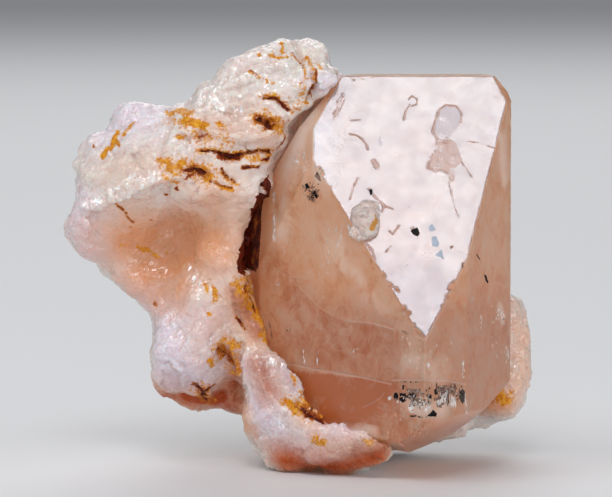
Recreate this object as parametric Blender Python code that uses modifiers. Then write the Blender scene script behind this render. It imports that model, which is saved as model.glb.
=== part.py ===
"""A topaz crystal grown on a lump of white albite, built at its real size.

The crystal is cut from a block by planes, one for each face, whose directions follow from topaz's axial
ratio. The albite matrix is a heap of rounded lumps fused into one rock, roughened, grooved, and hollowed
where the crystal sits in it. Units are metres, +Z is up and -Y is the side the crystal's big face looks to.
"""

import math

import bmesh
import bpy
from mathutils import Euler, Matrix, Vector, noise

MM = 0.001

# Topaz's crystal axes: a runs to the right, b to the front and c up, with these lengths beside b's.
AXIS_A = 0.5285
AXIS_C = 0.9539

# The crystal is measured from a centre on its front edge's plane, this far above the base.
CRYSTAL_CENTRE = Vector((0.0, 0.0, 22.35)) * MM
BLOCK_SIDE = 90.0 * MM

# Each face of the crystal: its indices (h, k, l) and its distance from the crystal's centre in mm.
# A face with a decimal index is a vicinal one, a few degrees off the simple face of that name.
CRYSTAL_FACES = {
    "basal_strip": ((0, 0, 1), 29.35),
    "front_dome": ((0, 2, 1), 15.3),
    "back_dome": ((0, -2, 1), 15.3),
    "left_pyramid": ((-2, 2, 3), 25.5),
    "left_steep_pyramid": ((-2, 2, 1), 19.95),
    "right_pyramid": ((2, 2, 3), 24.7),
    "back_left_pyramid": ((-2, -2, 3), 24.0),
    "back_right_pyramid": ((2, -2, 3), 23.5),
    "front_right_prism": ((1, 2, 0), 13.8),
    "front_left_prism": ((-1, 2.3, 0), 14.65),
    "right_prism": ((1, 1, 0), 11.4),
    "back_right_prism": ((1, -1, 0), 9.1),
    "back_right_long_prism": ((1, -2, 0), 11.0),
    "left_prism": ((-2, 1, 0), 20.7),
    "back_left_prism": ((-1, -1, 0), 21.0),
    "back_left_long_prism": ((-1, -2, 0), 18.0),
    "back_pinacoid": ((0, -1, 0), 14.0),
}

# The crystal's broken foot: the outward direction of each fracture, and its distance from the centre in mm.
FOOT_FRACTURES = {
    "lower_right": (Vector((0.71, -0.05, -0.71)), 15.5),
    "underside": (Vector((0.42, -0.25, -0.87)), 17.0),
    "underside_left": (Vector((-0.20, -0.20, -0.96)), 19.6),
    "lower_left": (Vector((-0.60, -0.10, -0.79)), 20.3),
    "back_foot": (Vector((0.05, 0.55, -0.83)), 16.0),
}

SOCKET_GAP = 0.3 * MM

# How far down the outlines and depths below were read, as the slope of the line of sight.
SIGHT_SLOPE = math.tan(math.radians(6.0))

# The albite's bodies. Each has an outline seen from the front (right, up), its back depth, and the depth
# of its front (right, up, back) at hand-placed points; all in mm.
ALBITE_BODIES = {
    "left_rock": {
        "outline": (
            (-14.4, 56.4), (-15.3, 56.6), (-16.3, 55.6), (-18.3, 56.9), (-20.2, 56.3), (-21.5, 55.5),
            (-23.6, 54.4), (-25.0, 53.2), (-26.6, 52.4), (-27.2, 50.6), (-29.0, 49.6), (-30.4, 47.9),
            (-32.0, 47.7), (-33.5, 47.9), (-35.6, 47.7), (-37.4, 47.9), (-38.6, 47.4), (-39.6, 46.6),
            (-41.2, 45.2), (-42.6, 44.3), (-43.8, 43.6), (-44.8, 41.8), (-44.8, 40.2), (-45.2, 37.6),
            (-45.6, 36.0), (-45.3, 34.6), (-46.5, 32.6), (-46.2, 30.6), (-45.2, 28.5), (-43.2, 26.9),
            (-41.6, 26.5), (-40.2, 24.4), (-38.8, 23.0), (-37.2, 21.7), (-36.0, 20.6), (-34.6, 18.8),
            (-34.4, 17.6), (-35.1, 16.6), (-35.3, 14.4), (-35.1, 12.2), (-33.8, 10.2), (-32.2, 9.1),
            (-30.0, 8.0), (-26.0, 7.6), (-23.8, 6.6), (-21.0, 7.6), (-20.6, 15.0), (-20.4, 20.4),
            (-21.6, 24.4), (-23.2, 26.5), (-22.0, 30.2), (-21.6, 34.0), (-19.8, 36.2), (-19.0, 39.3),
            (-18.4, 42.0), (-17.0, 43.9), (-16.4, 45.7), (-15.2, 47.2), (-12.4, 48.8), (-10.0, 51.0),
            (-11.4, 52.6), (-12.8, 55.4),
        ),
        "back": 11.0,
        "front": (
            (-15.0, 54.0, -0.5), (-18.5, 54.0, -1.0), (-12.2, 50.0, -6.4), (-15.5, 50.0, -4.8), (-19.0, 49.6, -4.6),
            (-23.5, 51.0, -2.4), (-17.8, 46.5, -5.0), (-21.5, 46.4, -5.4), (-26.0, 47.6, -4.0),
            (-20.0, 43.6, -6.4), (-24.0, 43.4, -6.8), (-28.5, 44.6, -5.0), (-20.8, 40.6, -4.6),
            (-25.0, 40.6, -5.2), (-21.2, 38.4, -5.6), (-25.0, 37.6, -6.4), (-28.4, 39.4, -7.0),
            (-33.0, 45.4, -3.0), (-38.0, 45.4, -2.6), (-42.5, 41.5, -2.4), (-32.5, 41.6, -6.0),
            (-37.0, 41.6, -5.6), (-43.6, 37.4, -3.0), (-40.0, 38.0, -5.4), (-43.0, 34.4, -4.2),
            (-39.8, 35.6, -6.8), (-36.4, 37.0, -7.6), (-33.0, 38.0, -7.8), (-30.0, 37.0, -7.0),
            (-43.8, 31.0, -2.4), (-40.6, 31.4, -2.6), (-37.2, 33.0, -1.8), (-33.6, 34.6, -2.6),
            (-40.0, 28.6, -0.8), (-36.6, 29.4, 1.8), (-33.0, 31.0, 2.2), (-36.0, 25.4, 0.2),
            (-31.6, 27.4, 2.8), (-29.8, 31.4, 0.2), (-32.8, 22.8, 0.2), (-26.0, 34.2, -5.6),
            (-24.6, 30.4, -5.2), (-27.4, 30.6, -3.4), (-26.0, 26.6, -6.2), (-29.4, 25.6, -4.0),
            (-29.2, 22.2, -6.6), (-25.4, 22.2, -6.0), (-27.6, 19.0, -7.0), (-31.8, 19.0, -5.2),
            (-23.6, 18.6, -3.4), (-30.0, 15.4, -7.6), (-33.4, 14.2, -5.6), (-26.4, 15.4, -6.0),
            (-32.0, 11.6, -5.6), (-28.6, 11.6, -4.6), (-24.6, 12.8, -0.6), (-30.0, 8.9, 0.6),
            (-26.2, 9.4, 1.2), (-23.0, 9.0, 1.6),
        ),
    },
    "wedge": {
        "outline": (
            (-24.0, 25.4), (-22.3, 24.7), (-21.6, 22.8), (-20.7, 20.4), (-20.0, 18.6), (-19.5, 16.4),
            (-21.5, 14.8), (-23.6, 17.5), (-24.4, 21.5),
        ),
        "back": 3.0,
        "front": ((-22.4, 23.4, -3.6), (-21.6, 19.6, -5.2), (-21.0, 16.4, -6.4), (-23.4, 18.4, -4.4)),
    },
    "toe": {
        "outline": (
            (-21.6, 16.9), (-20.3, 16.9), (-18.6, 15.7), (-17.9, 14.3), (-16.9, 13.3), (-15.2, 12.8),
            (-15.0, 11.2), (-15.2, 9.4), (-14.2, 9.1), (-12.9, 7.3), (-12.1, 6.6), (-10.1, 6.4),
            (-6.0, 6.4), (-3.6, 6.7), (-3.2, 4.4), (-4.0, 1.8), (-7.5, 0.4), (-10.3, -0.2),
            (-13.0, -0.3), (-16.0, 0.2), (-18.7, 1.1), (-20.0, 1.9), (-20.7, 2.9), (-21.8, 3.4),
            (-22.5, 4.5), (-23.6, 5.5), (-23.2, 7.6), (-22.2, 9.4), (-22.4, 11.2), (-23.9, 12.2),
            (-24.6, 14.4), (-23.6, 16.6),
        ),
        "back": 4.0,
        "front": (
            (-21.5, 15.4, -7.2), (-18.8, 14.0, -7.6), (-22.8, 13.4, -7.0), (-20.6, 11.2, -9.4),
            (-17.0, 11.0, -9.0), (-19.6, 7.6, -10.6), (-16.2, 7.4, -10.6), (-22.0, 6.4, -8.6),
            (-13.0, 5.4, -13.0), (-9.0, 5.4, -15.4), (-5.2, 5.6, -17.0), (-17.6, 3.8, -10.0),
            (-13.0, 2.8, -11.8), (-8.6, 2.8, -13.4), (-5.0, 3.2, -14.6), (-19.0, 2.4, -8.4),
            (-12.0, 0.8, -9.6),
        ),
    },
    "right_lump": {
        "outline": (
            (2.0, 6.0), (5.8, 6.1), (8.9, 6.4), (11.7, 6.7), (13.2, 7.5), (14.0, 8.9), (14.8, 10.6),
            (15.3, 12.2), (14.9, 13.6), (14.8, 15.0), (15.1, 16.7), (14.7, 18.8), (14.3, 20.2),
            (13.6, 21.6), (12.2, 23.2), (10.0, 23.4), (8.0, 18.0), (4.0, 12.0),
        ),
        "back": 13.0,
        "front": ((12.4, 18.0, 3.0), (12.6, 12.0, 1.8), (10.0, 8.6, 0.6), (5.0, 7.4, 1.6), (9.0, 14.0, 2.0)),
    },
}
BODY_BLEND = 1.5
EDGE_ROUNDING = 3.2
EDGE_DROP = 3.4

# Rounded lumps behind and under the crystal: centre and half size in mm (right, back, up), and the tilt
# in degrees, turning clockwise as seen from the front.
ALBITE_LUMPS = {
    "base": ((-13.0, 1.0, 4.4), (8.5, 11.5, 4.8), 0),
    "base_back": ((-2.0, 8.0, 6.4), (10.0, 8.0, 4.4), 8),
    "back_wall": ((-6.0, 14.0, 12.4), (14.5, 5.2, 9.6), 6),
    "back_left": ((-25.0, 10.0, 24.0), (9.5, 8.0, 17.0), -12),
    "back_corner": ((-17.0, 13.4, 16.0), (8.5, 6.0, 12.5), -20),
    "back_upper": ((-22.0, 6.6, 45.0), (7.0, 6.6, 8.6), 40),
    "back_shoulder": ((-31.0, 6.6, 38.0), (9.0, 6.6, 8.0), 0),
    "back_pinnacle": ((-12.8, 7.0, 48.2), (3.0, 3.6, 4.4), -35),
    "right_neck": ((8.0, 11.0, 9.6), (5.5, 5.0, 5.2), 0),
}
LUMP_BOXINESS = 0.2

# The rock's skin: blocky relief and finer grains (their sizes are the inverse of the scales, in mm), and
# ledges over its top, which slope down to the left.
NOISE_SEED = 5
BLOCK_SCALE = 0.19
BLOCK_RELIEF = 1.5
GRAIN_SCALE = 0.5
GRAIN_RELIEF = 0.7
LEDGE_SLOPE = 0.2
LEDGE_SPACING = 2.2
LEDGE_RELIEF = 0.28
LEDGES_ABOVE = 33.0

# Broken planes across the rock's back and foot: the outward direction and a point on each, in mm.
ROCK_FRACTURES = (
    (Vector((-0.18, 0.97, 0.16)), Vector((-26.0, 15.6, 26.0))),
    (Vector((0.22, 0.94, -0.26)), Vector((-4.0, 17.6, 12.0))),
    (Vector((-0.62, 0.72, 0.30)), Vector((-36.0, 9.6, 40.0))),
    (Vector((-0.30, 0.62, -0.73)), Vector((-26.0, 9.0, 8.2))),
    (Vector((0.10, 0.80, 0.60)), Vector((-22.0, 10.6, 52.0))),
)

# A small grain of albite stuck on the edge between the crystal's big face and its left side.
GRAIN_CENTRE = Vector((-7.4, -11.2, 33.8)) * MM
GRAIN_HALF_SIZE = Vector((2.5, 1.2, 3.0)) * MM
GRAIN_TURN = (-27.0, 0.0, -14.0)
GRAIN_VOXEL = 0.3 * MM
GRAIN_TRIANGLES = 360

CRYSTAL_COLOUR = (0.82, 0.52, 0.38)
ALBITE_COLOUR = (0.84, 0.78, 0.74)

BASE_HEIGHT = 0.7 * MM
VOXEL = 0.7 * MM
MATRIX_TRIANGLES = 8400


def face_direction(indices):
    """The outward normal of the crystal face with these indices."""
    h, k, l = indices
    return Vector((h / AXIS_A, -k, l / AXIS_C)).normalized()


def add_object(name, mesh, collection):
    obj = bpy.data.objects.new(name, mesh)
    collection.objects.link(obj)
    return obj


def mesh_from(bm, name):
    """Turns a bmesh into a mesh with its normals facing out."""
    bmesh.ops.recalc_face_normals(bm, faces=bm.faces)
    mesh = bpy.data.meshes.new(name)
    bm.to_mesh(mesh)
    bm.free()
    return mesh


def slice_off(bm, point, direction):
    """Cuts away what lies beyond a plane and closes the cut with one flat face."""
    geometry = bm.verts[:] + bm.edges[:] + bm.faces[:]
    cut = bmesh.ops.bisect_plane(
        bm, geom=geometry, plane_co=point, plane_no=direction, clear_outer=True, dist=1e-7
    )
    rim = [item for item in cut["geom_cut"] if isinstance(item, bmesh.types.BMEdge)]
    if rim:
        bmesh.ops.holes_fill(bm, edges=rim)


def crystal_mesh(name, grown_by=0.0):
    """The crystal as a block cut by its faces, each moved out by grown_by."""
    bm = bmesh.new()
    bmesh.ops.create_cube(bm, size=BLOCK_SIDE)
    planes = [(face_direction(ix), reach) for ix, reach in CRYSTAL_FACES.values()]
    planes += [(d.normalized(), reach) for d, reach in FOOT_FRACTURES.values()]
    for direction, reach in planes:
        slice_off(bm, direction * (reach * MM + grown_by), direction)
    bmesh.ops.translate(bm, verts=bm.verts, vec=CRYSTAL_CENTRE)
    return mesh_from(bm, name)


def add_lump(bm, centre, half_size, tilt):
    """Adds one rounded, slightly boxy lump to the heap."""
    made = bmesh.ops.create_icosphere(bm, subdivisions=4, radius=1.0)
    turn = Euler((0.0, math.radians(-tilt), 0.0)).to_matrix()
    for vert in made["verts"]:
        rounded = [math.copysign(abs(c) ** (1.0 - LUMP_BOXINESS), c) for c in vert.co]
        scaled = Vector(r * half for r, half in zip(rounded, half_size))
        vert.co = (turn @ scaled + Vector(centre)) * MM


def distance_to_edge(x, z, outline):
    """How far a point is from the outline's nearest side."""
    nearest = 1e9
    for (x0, z0), (x1, z1) in zip(outline, outline[1:] + outline[:1]):
        side_x = x1 - x0
        side_z = z1 - z0
        along = ((x - x0) * side_x + (z - z0) * side_z) / (side_x * side_x + side_z * side_z)
        along = min(max(along, 0.0), 1.0)
        nearest = min(nearest, math.hypot(x - x0 - along * side_x, z - z0 - along * side_z))
    return nearest


def front_depth(x, z, points):
    """The depth of a body's front, blended from its hand-placed points."""
    total = 0.0
    weights = 0.0
    for px, pz, depth in points:
        weight = math.exp(-((x - px) ** 2 + (z - pz) ** 2) / (2.0 * BODY_BLEND ** 2)) + 1e-9
        total += weight * depth
        weights += weight
    return total / weights


def body_mesh(name, body, collection):
    """One of the albite's bodies: its outline pushed out in depth, with its front carved to depth."""
    bm = bmesh.new()
    ring = [bm.verts.new(Vector((x, 10.0, z)) * MM) for x, z in body["outline"]]
    face = bm.faces.new(ring)
    pushed = bmesh.ops.extrude_face_region(bm, geom=[face], use_keep_orig=True)["geom"]
    moved = [item for item in pushed if isinstance(item, bmesh.types.BMVert)]
    bmesh.ops.translate(bm, verts=moved, vec=Vector((0.0, -20.0, 0.0)) * MM)
    block = add_object(name, mesh_from(bm, name), collection)
    remesh = block.modifiers.new("grid", "REMESH")
    remesh.mode = "VOXEL"
    remesh.voxel_size = VOXEL
    mesh = evaluated_copy(block, name)
    bpy.data.objects.remove(block)
    for vert in mesh.vertices:
        x, y, z = vert.co / MM
        inset = min(distance_to_edge(x, z, body["outline"]) / EDGE_ROUNDING, 1.0)
        drop = EDGE_DROP * (1.0 - math.sqrt(1.0 - (1.0 - inset) ** 2))
        front = front_depth(x, z, body["front"]) + drop
        back = max(body["back"] - drop, front + 1.0)
        depth = front + (back - front) * min(max((y + 10.0) / 20.0, 0.0), 1.0)
        vert.co = Vector((x, depth, z - depth * SIGHT_SLOPE)) * MM
    return mesh


def evaluated_copy(obj, name):
    graph = bpy.context.evaluated_depsgraph_get()
    return bpy.data.meshes.new_from_object(obj.evaluated_get(graph), depsgraph=graph)


def roughen(mesh):
    """Breaks the rock's skin into blocky lumps and creases, and lays slanting ledges over its top."""
    normals = [v.normal.copy() for v in mesh.vertices]
    for vert, normal in zip(mesh.vertices, normals):
        p = vert.co / MM
        wavy = p + 1.2 * noise.noise_vector(p * 0.3)
        blocks = noise.voronoi(wavy * BLOCK_SCALE)[0]
        grains = noise.voronoi(wavy * GRAIN_SCALE)[0]
        push = BLOCK_RELIEF * (0.45 - blocks[0]) + GRAIN_RELIEF * (0.45 - grains[0])
        ledge = math.sin((p.z - LEDGE_SLOPE * p.x + 0.3 * p.y) * LEDGE_SPACING + 2.0 * noise.noise(p * 0.25))
        push += LEDGE_RELIEF * ledge * min(max((p.z - LEDGES_ABOVE) / 6.0, 0.0), 1.0)
        vert.co += normal * push * MM


def fused_rock(collection):
    """All the bodies and lumps fused into one closed rock with a roughened skin and a flat base."""
    bm = bmesh.new()
    for name, body in ALBITE_BODIES.items():
        piece = body_mesh(name, body, collection)
        bm.from_mesh(piece)
        bpy.data.meshes.remove(piece)
    for centre, half_size, tilt in ALBITE_LUMPS.values():
        add_lump(bm, centre, half_size, tilt)
    heap = add_object("albite_heap", mesh_from(bm, "albite_heap"), collection)
    remesh = heap.modifiers.new("fuse", "REMESH")
    remesh.mode = "VOXEL"
    remesh.voxel_size = VOXEL
    smooth = heap.modifiers.new("soften", "SMOOTH")
    smooth.factor = 0.5
    smooth.iterations = 2
    fused = evaluated_copy(heap, "albite_matrix")
    heap.modifiers.clear()
    heap.data = fused
    bm = bmesh.new()
    bm.from_mesh(fused)
    for direction, point in ROCK_FRACTURES:
        slice_off(bm, point * MM, direction.normalized())
    bm.to_mesh(fused)
    bm.free()
    remesh = heap.modifiers.new("regrid", "REMESH")
    remesh.mode = "VOXEL"
    remesh.voxel_size = VOXEL
    mesh = evaluated_copy(heap, "albite_matrix")
    bpy.data.objects.remove(heap)
    roughen(mesh)
    return mesh


def grain_mesh(collection):
    """The small grain, as a rough pebble."""
    bm = bmesh.new()
    bmesh.ops.create_icosphere(bm, subdivisions=5, radius=1.0)
    turn = Euler([math.radians(angle) for angle in GRAIN_TURN]).to_matrix()
    for vert in bm.verts:
        p = vert.co.copy()
        swell = 1.0 + 0.22 * noise.noise(p * 1.6) + 0.12 * (0.4 - noise.voronoi(p * 2.4)[0][0])
        vert.co = turn @ (p * swell * GRAIN_HALF_SIZE) + GRAIN_CENTRE
    pebble = add_object("pebble", mesh_from(bm, "pebble"), collection)
    remesh = pebble.modifiers.new("grid", "REMESH")
    remesh.mode = "VOXEL"
    remesh.voxel_size = GRAIN_VOXEL
    mesh = evaluated_copy(pebble, "albite_grain")
    bpy.data.objects.remove(pebble)
    return mesh


def largest_piece(mesh):
    """Drops the crumbs that a cut leaves beside the rock."""
    bm = bmesh.new()
    bm.from_mesh(mesh)
    unseen = set(bm.verts)
    pieces = []
    while unseen:
        start = unseen.pop()
        piece = {start}
        front = [start]
        while front:
            vert = front.pop()
            for edge in vert.link_edges:
                other = edge.other_vert(vert)
                if other in unseen:
                    unseen.discard(other)
                    piece.add(other)
                    front.append(other)
        pieces.append(piece)
    pieces.sort(key=len)
    crumbs = [vert for piece in pieces[:-1] for vert in piece]
    bmesh.ops.delete(bm, geom=crumbs, context="VERTS")
    bm.to_mesh(mesh)
    bm.free()


def trim_base(mesh):
    """Cuts the rock flat where it rests."""
    bm = bmesh.new()
    bm.from_mesh(mesh)
    slice_off(bm, Vector((0.0, 0.0, BASE_HEIGHT)), Vector((0.0, 0.0, -1.0)))
    bm.to_mesh(mesh)
    bm.free()


def carve(obj, cutter, triangles):
    """Thins an object's mesh, hollows it where the crystal sits, and keeps the one main piece."""
    thin = obj.modifiers.new("thin_out", "DECIMATE")
    thin.ratio = triangles / (2 * len(obj.data.polygons))
    cut = obj.modifiers.new("socket", "BOOLEAN")
    cut.object = cutter
    cut.operation = "DIFFERENCE"
    carved = evaluated_copy(obj, obj.name)
    obj.modifiers.clear()
    obj.data = carved
    largest_piece(carved)
    carved.shade_smooth()


def give_material(obj, colour, roughness):
    material = bpy.data.materials.new(obj.name)
    material.use_nodes = True
    shader = material.node_tree.nodes["Principled BSDF"]
    shader.inputs["Base Color"].default_value = (*colour, 1.0)
    shader.inputs["Roughness"].default_value = roughness
    obj.data.materials.clear()
    obj.data.materials.append(material)
    return shader


def stand_on_origin(objects, others):
    """Moves every object's mesh so the specimen stands on the origin, centred over it."""
    corners = [vert.co for obj in objects for vert in obj.data.vertices]
    low = [min(c[axis] for c in corners) for axis in range(3)]
    high = [max(c[axis] for c in corners) for axis in range(3)]
    shift = Vector((-(low[0] + high[0]) / 2, -(low[1] + high[1]) / 2, -low[2]))
    for obj in objects + others:
        obj.data.transform(Matrix.Translation(shift))
    return shift


def main():
    noise.seed_set(NOISE_SEED)
    for obj in list(bpy.data.objects):
        bpy.data.objects.remove(obj)
    specimen = bpy.data.collections.new("topaz_on_albite")
    cutters = bpy.data.collections.new("cutters")
    bpy.context.scene.collection.children.link(specimen)
    bpy.context.scene.collection.children.link(cutters)

    crystal = add_object("topaz_crystal", crystal_mesh("topaz_crystal"), specimen)
    socket = add_object("crystal_socket", crystal_mesh("crystal_socket", SOCKET_GAP), cutters)
    socket.hide_render = True
    socket.display_type = "WIRE"

    rock = add_object("albite_matrix", fused_rock(specimen), specimen)
    carve(rock, socket, MATRIX_TRIANGLES)
    trim_base(rock.data)
    grain = add_object("albite_grain", grain_mesh(specimen), specimen)
    carve(grain, socket, GRAIN_TRIANGLES)

    glassy = give_material(crystal, CRYSTAL_COLOUR, 0.08)
    glassy.inputs["Transmission Weight"].default_value = 0.9
    glassy.inputs["IOR"].default_value = 1.62
    give_material(rock, ALBITE_COLOUR, 0.55)
    give_material(grain, ALBITE_COLOUR, 0.5)
    stand_on_origin([crystal, rock, grain], [socket])


main()
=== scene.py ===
"""The looks of a topaz crystal on albite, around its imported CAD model."""

import math
import random

import bmesh
import bpy
import numpy as np
from mathutils import Euler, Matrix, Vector, noise
from mathutils.bvhtree import BVHTree
from mathutils.kdtree import KDTree


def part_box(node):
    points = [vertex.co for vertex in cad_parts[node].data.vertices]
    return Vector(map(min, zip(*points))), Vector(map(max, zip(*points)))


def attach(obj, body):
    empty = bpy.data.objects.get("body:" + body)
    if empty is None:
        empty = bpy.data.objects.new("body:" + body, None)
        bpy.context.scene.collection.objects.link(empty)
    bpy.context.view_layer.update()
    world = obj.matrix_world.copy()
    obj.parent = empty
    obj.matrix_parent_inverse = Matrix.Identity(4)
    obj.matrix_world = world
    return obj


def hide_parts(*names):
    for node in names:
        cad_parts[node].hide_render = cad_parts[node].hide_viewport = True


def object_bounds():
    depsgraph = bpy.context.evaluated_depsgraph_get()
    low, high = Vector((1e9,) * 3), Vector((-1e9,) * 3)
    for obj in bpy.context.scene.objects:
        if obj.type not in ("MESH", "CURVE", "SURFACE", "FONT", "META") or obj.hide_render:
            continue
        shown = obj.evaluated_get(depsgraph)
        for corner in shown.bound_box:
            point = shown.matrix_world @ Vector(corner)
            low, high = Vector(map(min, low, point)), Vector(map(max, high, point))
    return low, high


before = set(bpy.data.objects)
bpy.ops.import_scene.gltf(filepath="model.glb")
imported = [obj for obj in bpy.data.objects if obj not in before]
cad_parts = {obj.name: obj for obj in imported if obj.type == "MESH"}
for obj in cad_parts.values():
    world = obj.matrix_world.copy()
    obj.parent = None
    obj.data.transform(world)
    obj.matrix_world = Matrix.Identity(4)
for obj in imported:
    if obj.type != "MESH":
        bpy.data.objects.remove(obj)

MM = 0.001
NOISE_SEED = 11
CAD_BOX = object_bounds()

# The view: the photograph's pixels are placed on the object through this camera.
PIXEL = 0.13 * MM
PHOTO_WIDTH = 612.0
PIXEL_CENTRE = (306.0, 248.5)
SIGHT_ANGLE = math.radians(6.0)
LENS = 300.0
SENSOR = 36.0
DISTANCE = PIXEL * PHOTO_WIDTH * LENS / SENSOR
FAR = 2.0

# The view's centre, measured from the crystal's right, front and top.
crystal_low, crystal_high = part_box("topaz_crystal")
AIM = Vector((crystal_high.x - 26.54 * MM, crystal_low.y + 18.98 * MM, crystal_high.z - 22.61 * MM))
SIGHT = Vector((0.0, math.cos(SIGHT_ANGLE), -math.sin(SIGHT_ANGLE)))
SCREEN_UP = Vector((0.0, math.sin(SIGHT_ANGLE), math.cos(SIGHT_ANGLE)))
EYE = AIM - SIGHT * DISTANCE

# The direction that the crystal's big face looks to.
DOME_DIRECTION = Vector((0.0, -0.8857, 0.4643))
ON_DOME = 0.999


def new_object(name, data):
    obj = bpy.data.objects.new(name, data)
    bpy.context.scene.collection.objects.link(obj)
    return obj


def aimed(obj, place, direction):
    """Puts a camera or a lamp at a place, looking along a direction."""
    obj.location = place
    obj.rotation_mode = "QUATERNION"
    obj.rotation_quaternion = direction.to_track_quat("-Z", "Y")


def make_camera():
    camera = bpy.data.cameras.new("camera")
    camera.lens = LENS
    camera.sensor_width = SENSOR
    camera.clip_start = 0.01
    camera.clip_end = 10.0
    obj = new_object("camera", camera)
    aimed(obj, EYE, SIGHT)
    bpy.context.scene.camera = obj


def spot_on(tree, u, v):
    """Where the line of sight through a pixel of the photograph first meets a surface, or None."""
    across = (u - PIXEL_CENTRE[0]) * PIXEL
    up = (PIXEL_CENTRE[1] - v) * PIXEL
    target = AIM + Vector((1.0, 0.0, 0.0)) * across + SCREEN_UP * up
    return tree.ray_cast(EYE, (target - EYE).normalized(), FAR)[0]


def copy_of(node, name):
    return new_object(name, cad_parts[node].data.copy())


def tree_of(obj):
    return BVHTree.FromObject(obj, bpy.context.evaluated_depsgraph_get())


def even_grid(obj, size):
    """Redraws an object's mesh on an even grid, softened a little."""
    remesh = obj.modifiers.new("grid", "REMESH")
    remesh.mode = "VOXEL"
    remesh.voxel_size = size
    obj.modifiers.new("soften", "SMOOTH").iterations = 4
    graph = bpy.context.evaluated_depsgraph_get()
    mesh = bpy.data.meshes.new_from_object(obj.evaluated_get(graph), depsgraph=graph)
    obj.modifiers.clear()
    obj.data = mesh


def rows_of(items, key):
    """The three numbers of each of a mesh's vertices or directions, as rows."""
    flat = np.empty(len(items) * 3)
    items.foreach_get(key, flat)
    return flat.reshape(-1, 3)


def places(mesh):
    return rows_of(mesh.vertices, "co")


def directions(mesh):
    return rows_of(mesh.vertex_normals, "vector")


def put_places(mesh, co):
    mesh.vertices.foreach_set("co", co.astype(np.float32).ravel())
    mesh.update()


def write_fields(mesh, **fields):
    """Keeps values at the vertices for the materials."""
    for name, values in fields.items():
        field = mesh.attributes.new(name, "FLOAT", "POINT")
        field.data.foreach_set("value", np.asarray(values, np.float32))


def cover(mesh, material):
    mesh.shade_smooth()
    mesh.materials.clear()
    mesh.materials.append(material)


def noise_at(co, *layers):
    """Noise at each place, as layers of a share and its waves per mm."""
    spots = [Vector(place) / MM for place in co]
    return np.array([sum(share * noise.noise(spot * waves) for share, waves in layers) for spot in spots])


# Nodes


class Nodes:
    """Short calls for wiring a material."""

    def __init__(self, name):
        self.material = bpy.data.materials.new(name)
        self.material.use_nodes = True
        self.tree = self.material.node_tree
        self.shader = self.tree.nodes["Principled BSDF"]
        self.out = self.tree.nodes["Material Output"]

    def add(self, kind, **settings):
        node = self.tree.nodes.new(kind)
        for key, value in settings.items():
            setattr(node, key, value)
        return node

    def plug(self, value, socket):
        if isinstance(value, bpy.types.NodeSocket):
            self.tree.links.new(value, socket)
        elif isinstance(value, (tuple, list)) and len(value) == 3 and socket.type == "RGBA":
            socket.default_value = (*value, 1.0)
        else:
            socket.default_value = value

    def fill(self, node, **values):
        for key, value in values.items():
            self.plug(value, node.inputs[key.replace("_", " ")])
        return node.outputs[0]

    def set(self, **values):
        self.fill(self.shader, **values)

    def math(self, operation, a, b, clamp=False):
        node = self.add("ShaderNodeMath", operation=operation, use_clamp=clamp)
        self.plug(a, node.inputs[0])
        self.plug(b, node.inputs[1])
        return node.outputs[0]

    def plus(self, a, b, clamp=False):
        return self.math("ADD", a, b, clamp)

    def minus(self, a, b):
        return self.math("SUBTRACT", a, b)

    def times(self, a, b, clamp=False):
        return self.math("MULTIPLY", a, b, clamp)

    def most(self, a, b):
        return self.math("MAXIMUM", a, b)

    def vector(self, operation, a, b):
        node = self.add("ShaderNodeVectorMath", operation=operation)
        self.plug(a, node.inputs[0])
        self.plug(b, node.inputs["Scale" if operation == "SCALE" else 1])
        return node.outputs[0]

    def mix(self, share, a, b):
        node = self.add("ShaderNodeMix", data_type="RGBA")
        self.plug(share, node.inputs["Factor"])
        self.plug(a, node.inputs[6])
        self.plug(b, node.inputs[7])
        return node.outputs[2]

    def ramp(self, value, low, high, to_low=0.0, to_high=1.0):
        node = self.add("ShaderNodeMapRange")
        return self.fill(node, Value=value, From_Min=low, From_Max=high, To_Min=to_low, To_Max=to_high)

    def field(self, name):
        return self.add("ShaderNodeAttribute", attribute_name=name).outputs["Fac"]

    def broken(self, name, pattern, share, low, high, top=1.0):
        """How far a painted field shows, its edge broken up by a share of a pattern."""
        return self.ramp(self.plus(self.field(name), self.times(pattern, share)), low, high, 0.0, top)

    def where(self, stretch=(1.0, 1.0, 1.0)):
        place = self.add("ShaderNodeTexCoord").outputs["Object"]
        return self.fill(self.add("ShaderNodeMapping"), Vector=place, Scale=stretch)

    def noise(self, waves, detail=3.0, rough=0.55, distort=0.0):
        """Cloudy noise of so many waves per metre, or so many along each axis."""
        stretched = isinstance(waves, tuple)
        place = self.where(waves) if stretched else self.where()
        node = self.add("ShaderNodeTexNoise")
        self.fill(node, Vector=place, Scale=1.0 if stretched else waves)
        self.fill(node, Detail=detail, Roughness=rough, Distortion=distort)
        return node.outputs["Fac"]

    def cells(self, waves, output="Distance"):
        node = self.add("ShaderNodeTexVoronoi")
        self.fill(node, Vector=self.where(), Scale=waves)
        return node.outputs[output]

    def bump(self, height, strength, depth, under=None):
        node = self.add("ShaderNodeBump")
        if under is not None:
            self.plug(under, node.inputs["Normal"])
        return self.fill(node, Strength=strength, Distance=depth, Height=height)

    def tilted(self, waves, amount, share, toward):
        """The surface's direction leaning to another, tipped at random in each of many small spots."""
        leaning = self.add("ShaderNodeMix", data_type="VECTOR")
        self.plug(share, leaning.inputs[0])
        self.plug(self.add("ShaderNodeNewGeometry").outputs["Normal"], leaning.inputs[4])
        self.plug(toward, leaning.inputs[5])
        tips = self.vector("SUBTRACT", self.cells(waves, "Color"), (0.5, 0.5, 0.5))
        tipped = self.vector("ADD", leaning.outputs[1], self.vector("SCALE", tips, amount))
        return self.vector("NORMALIZE", tipped, (0.0, 0.0, 0.0))


# Painting on the object through the photograph's camera

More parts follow.
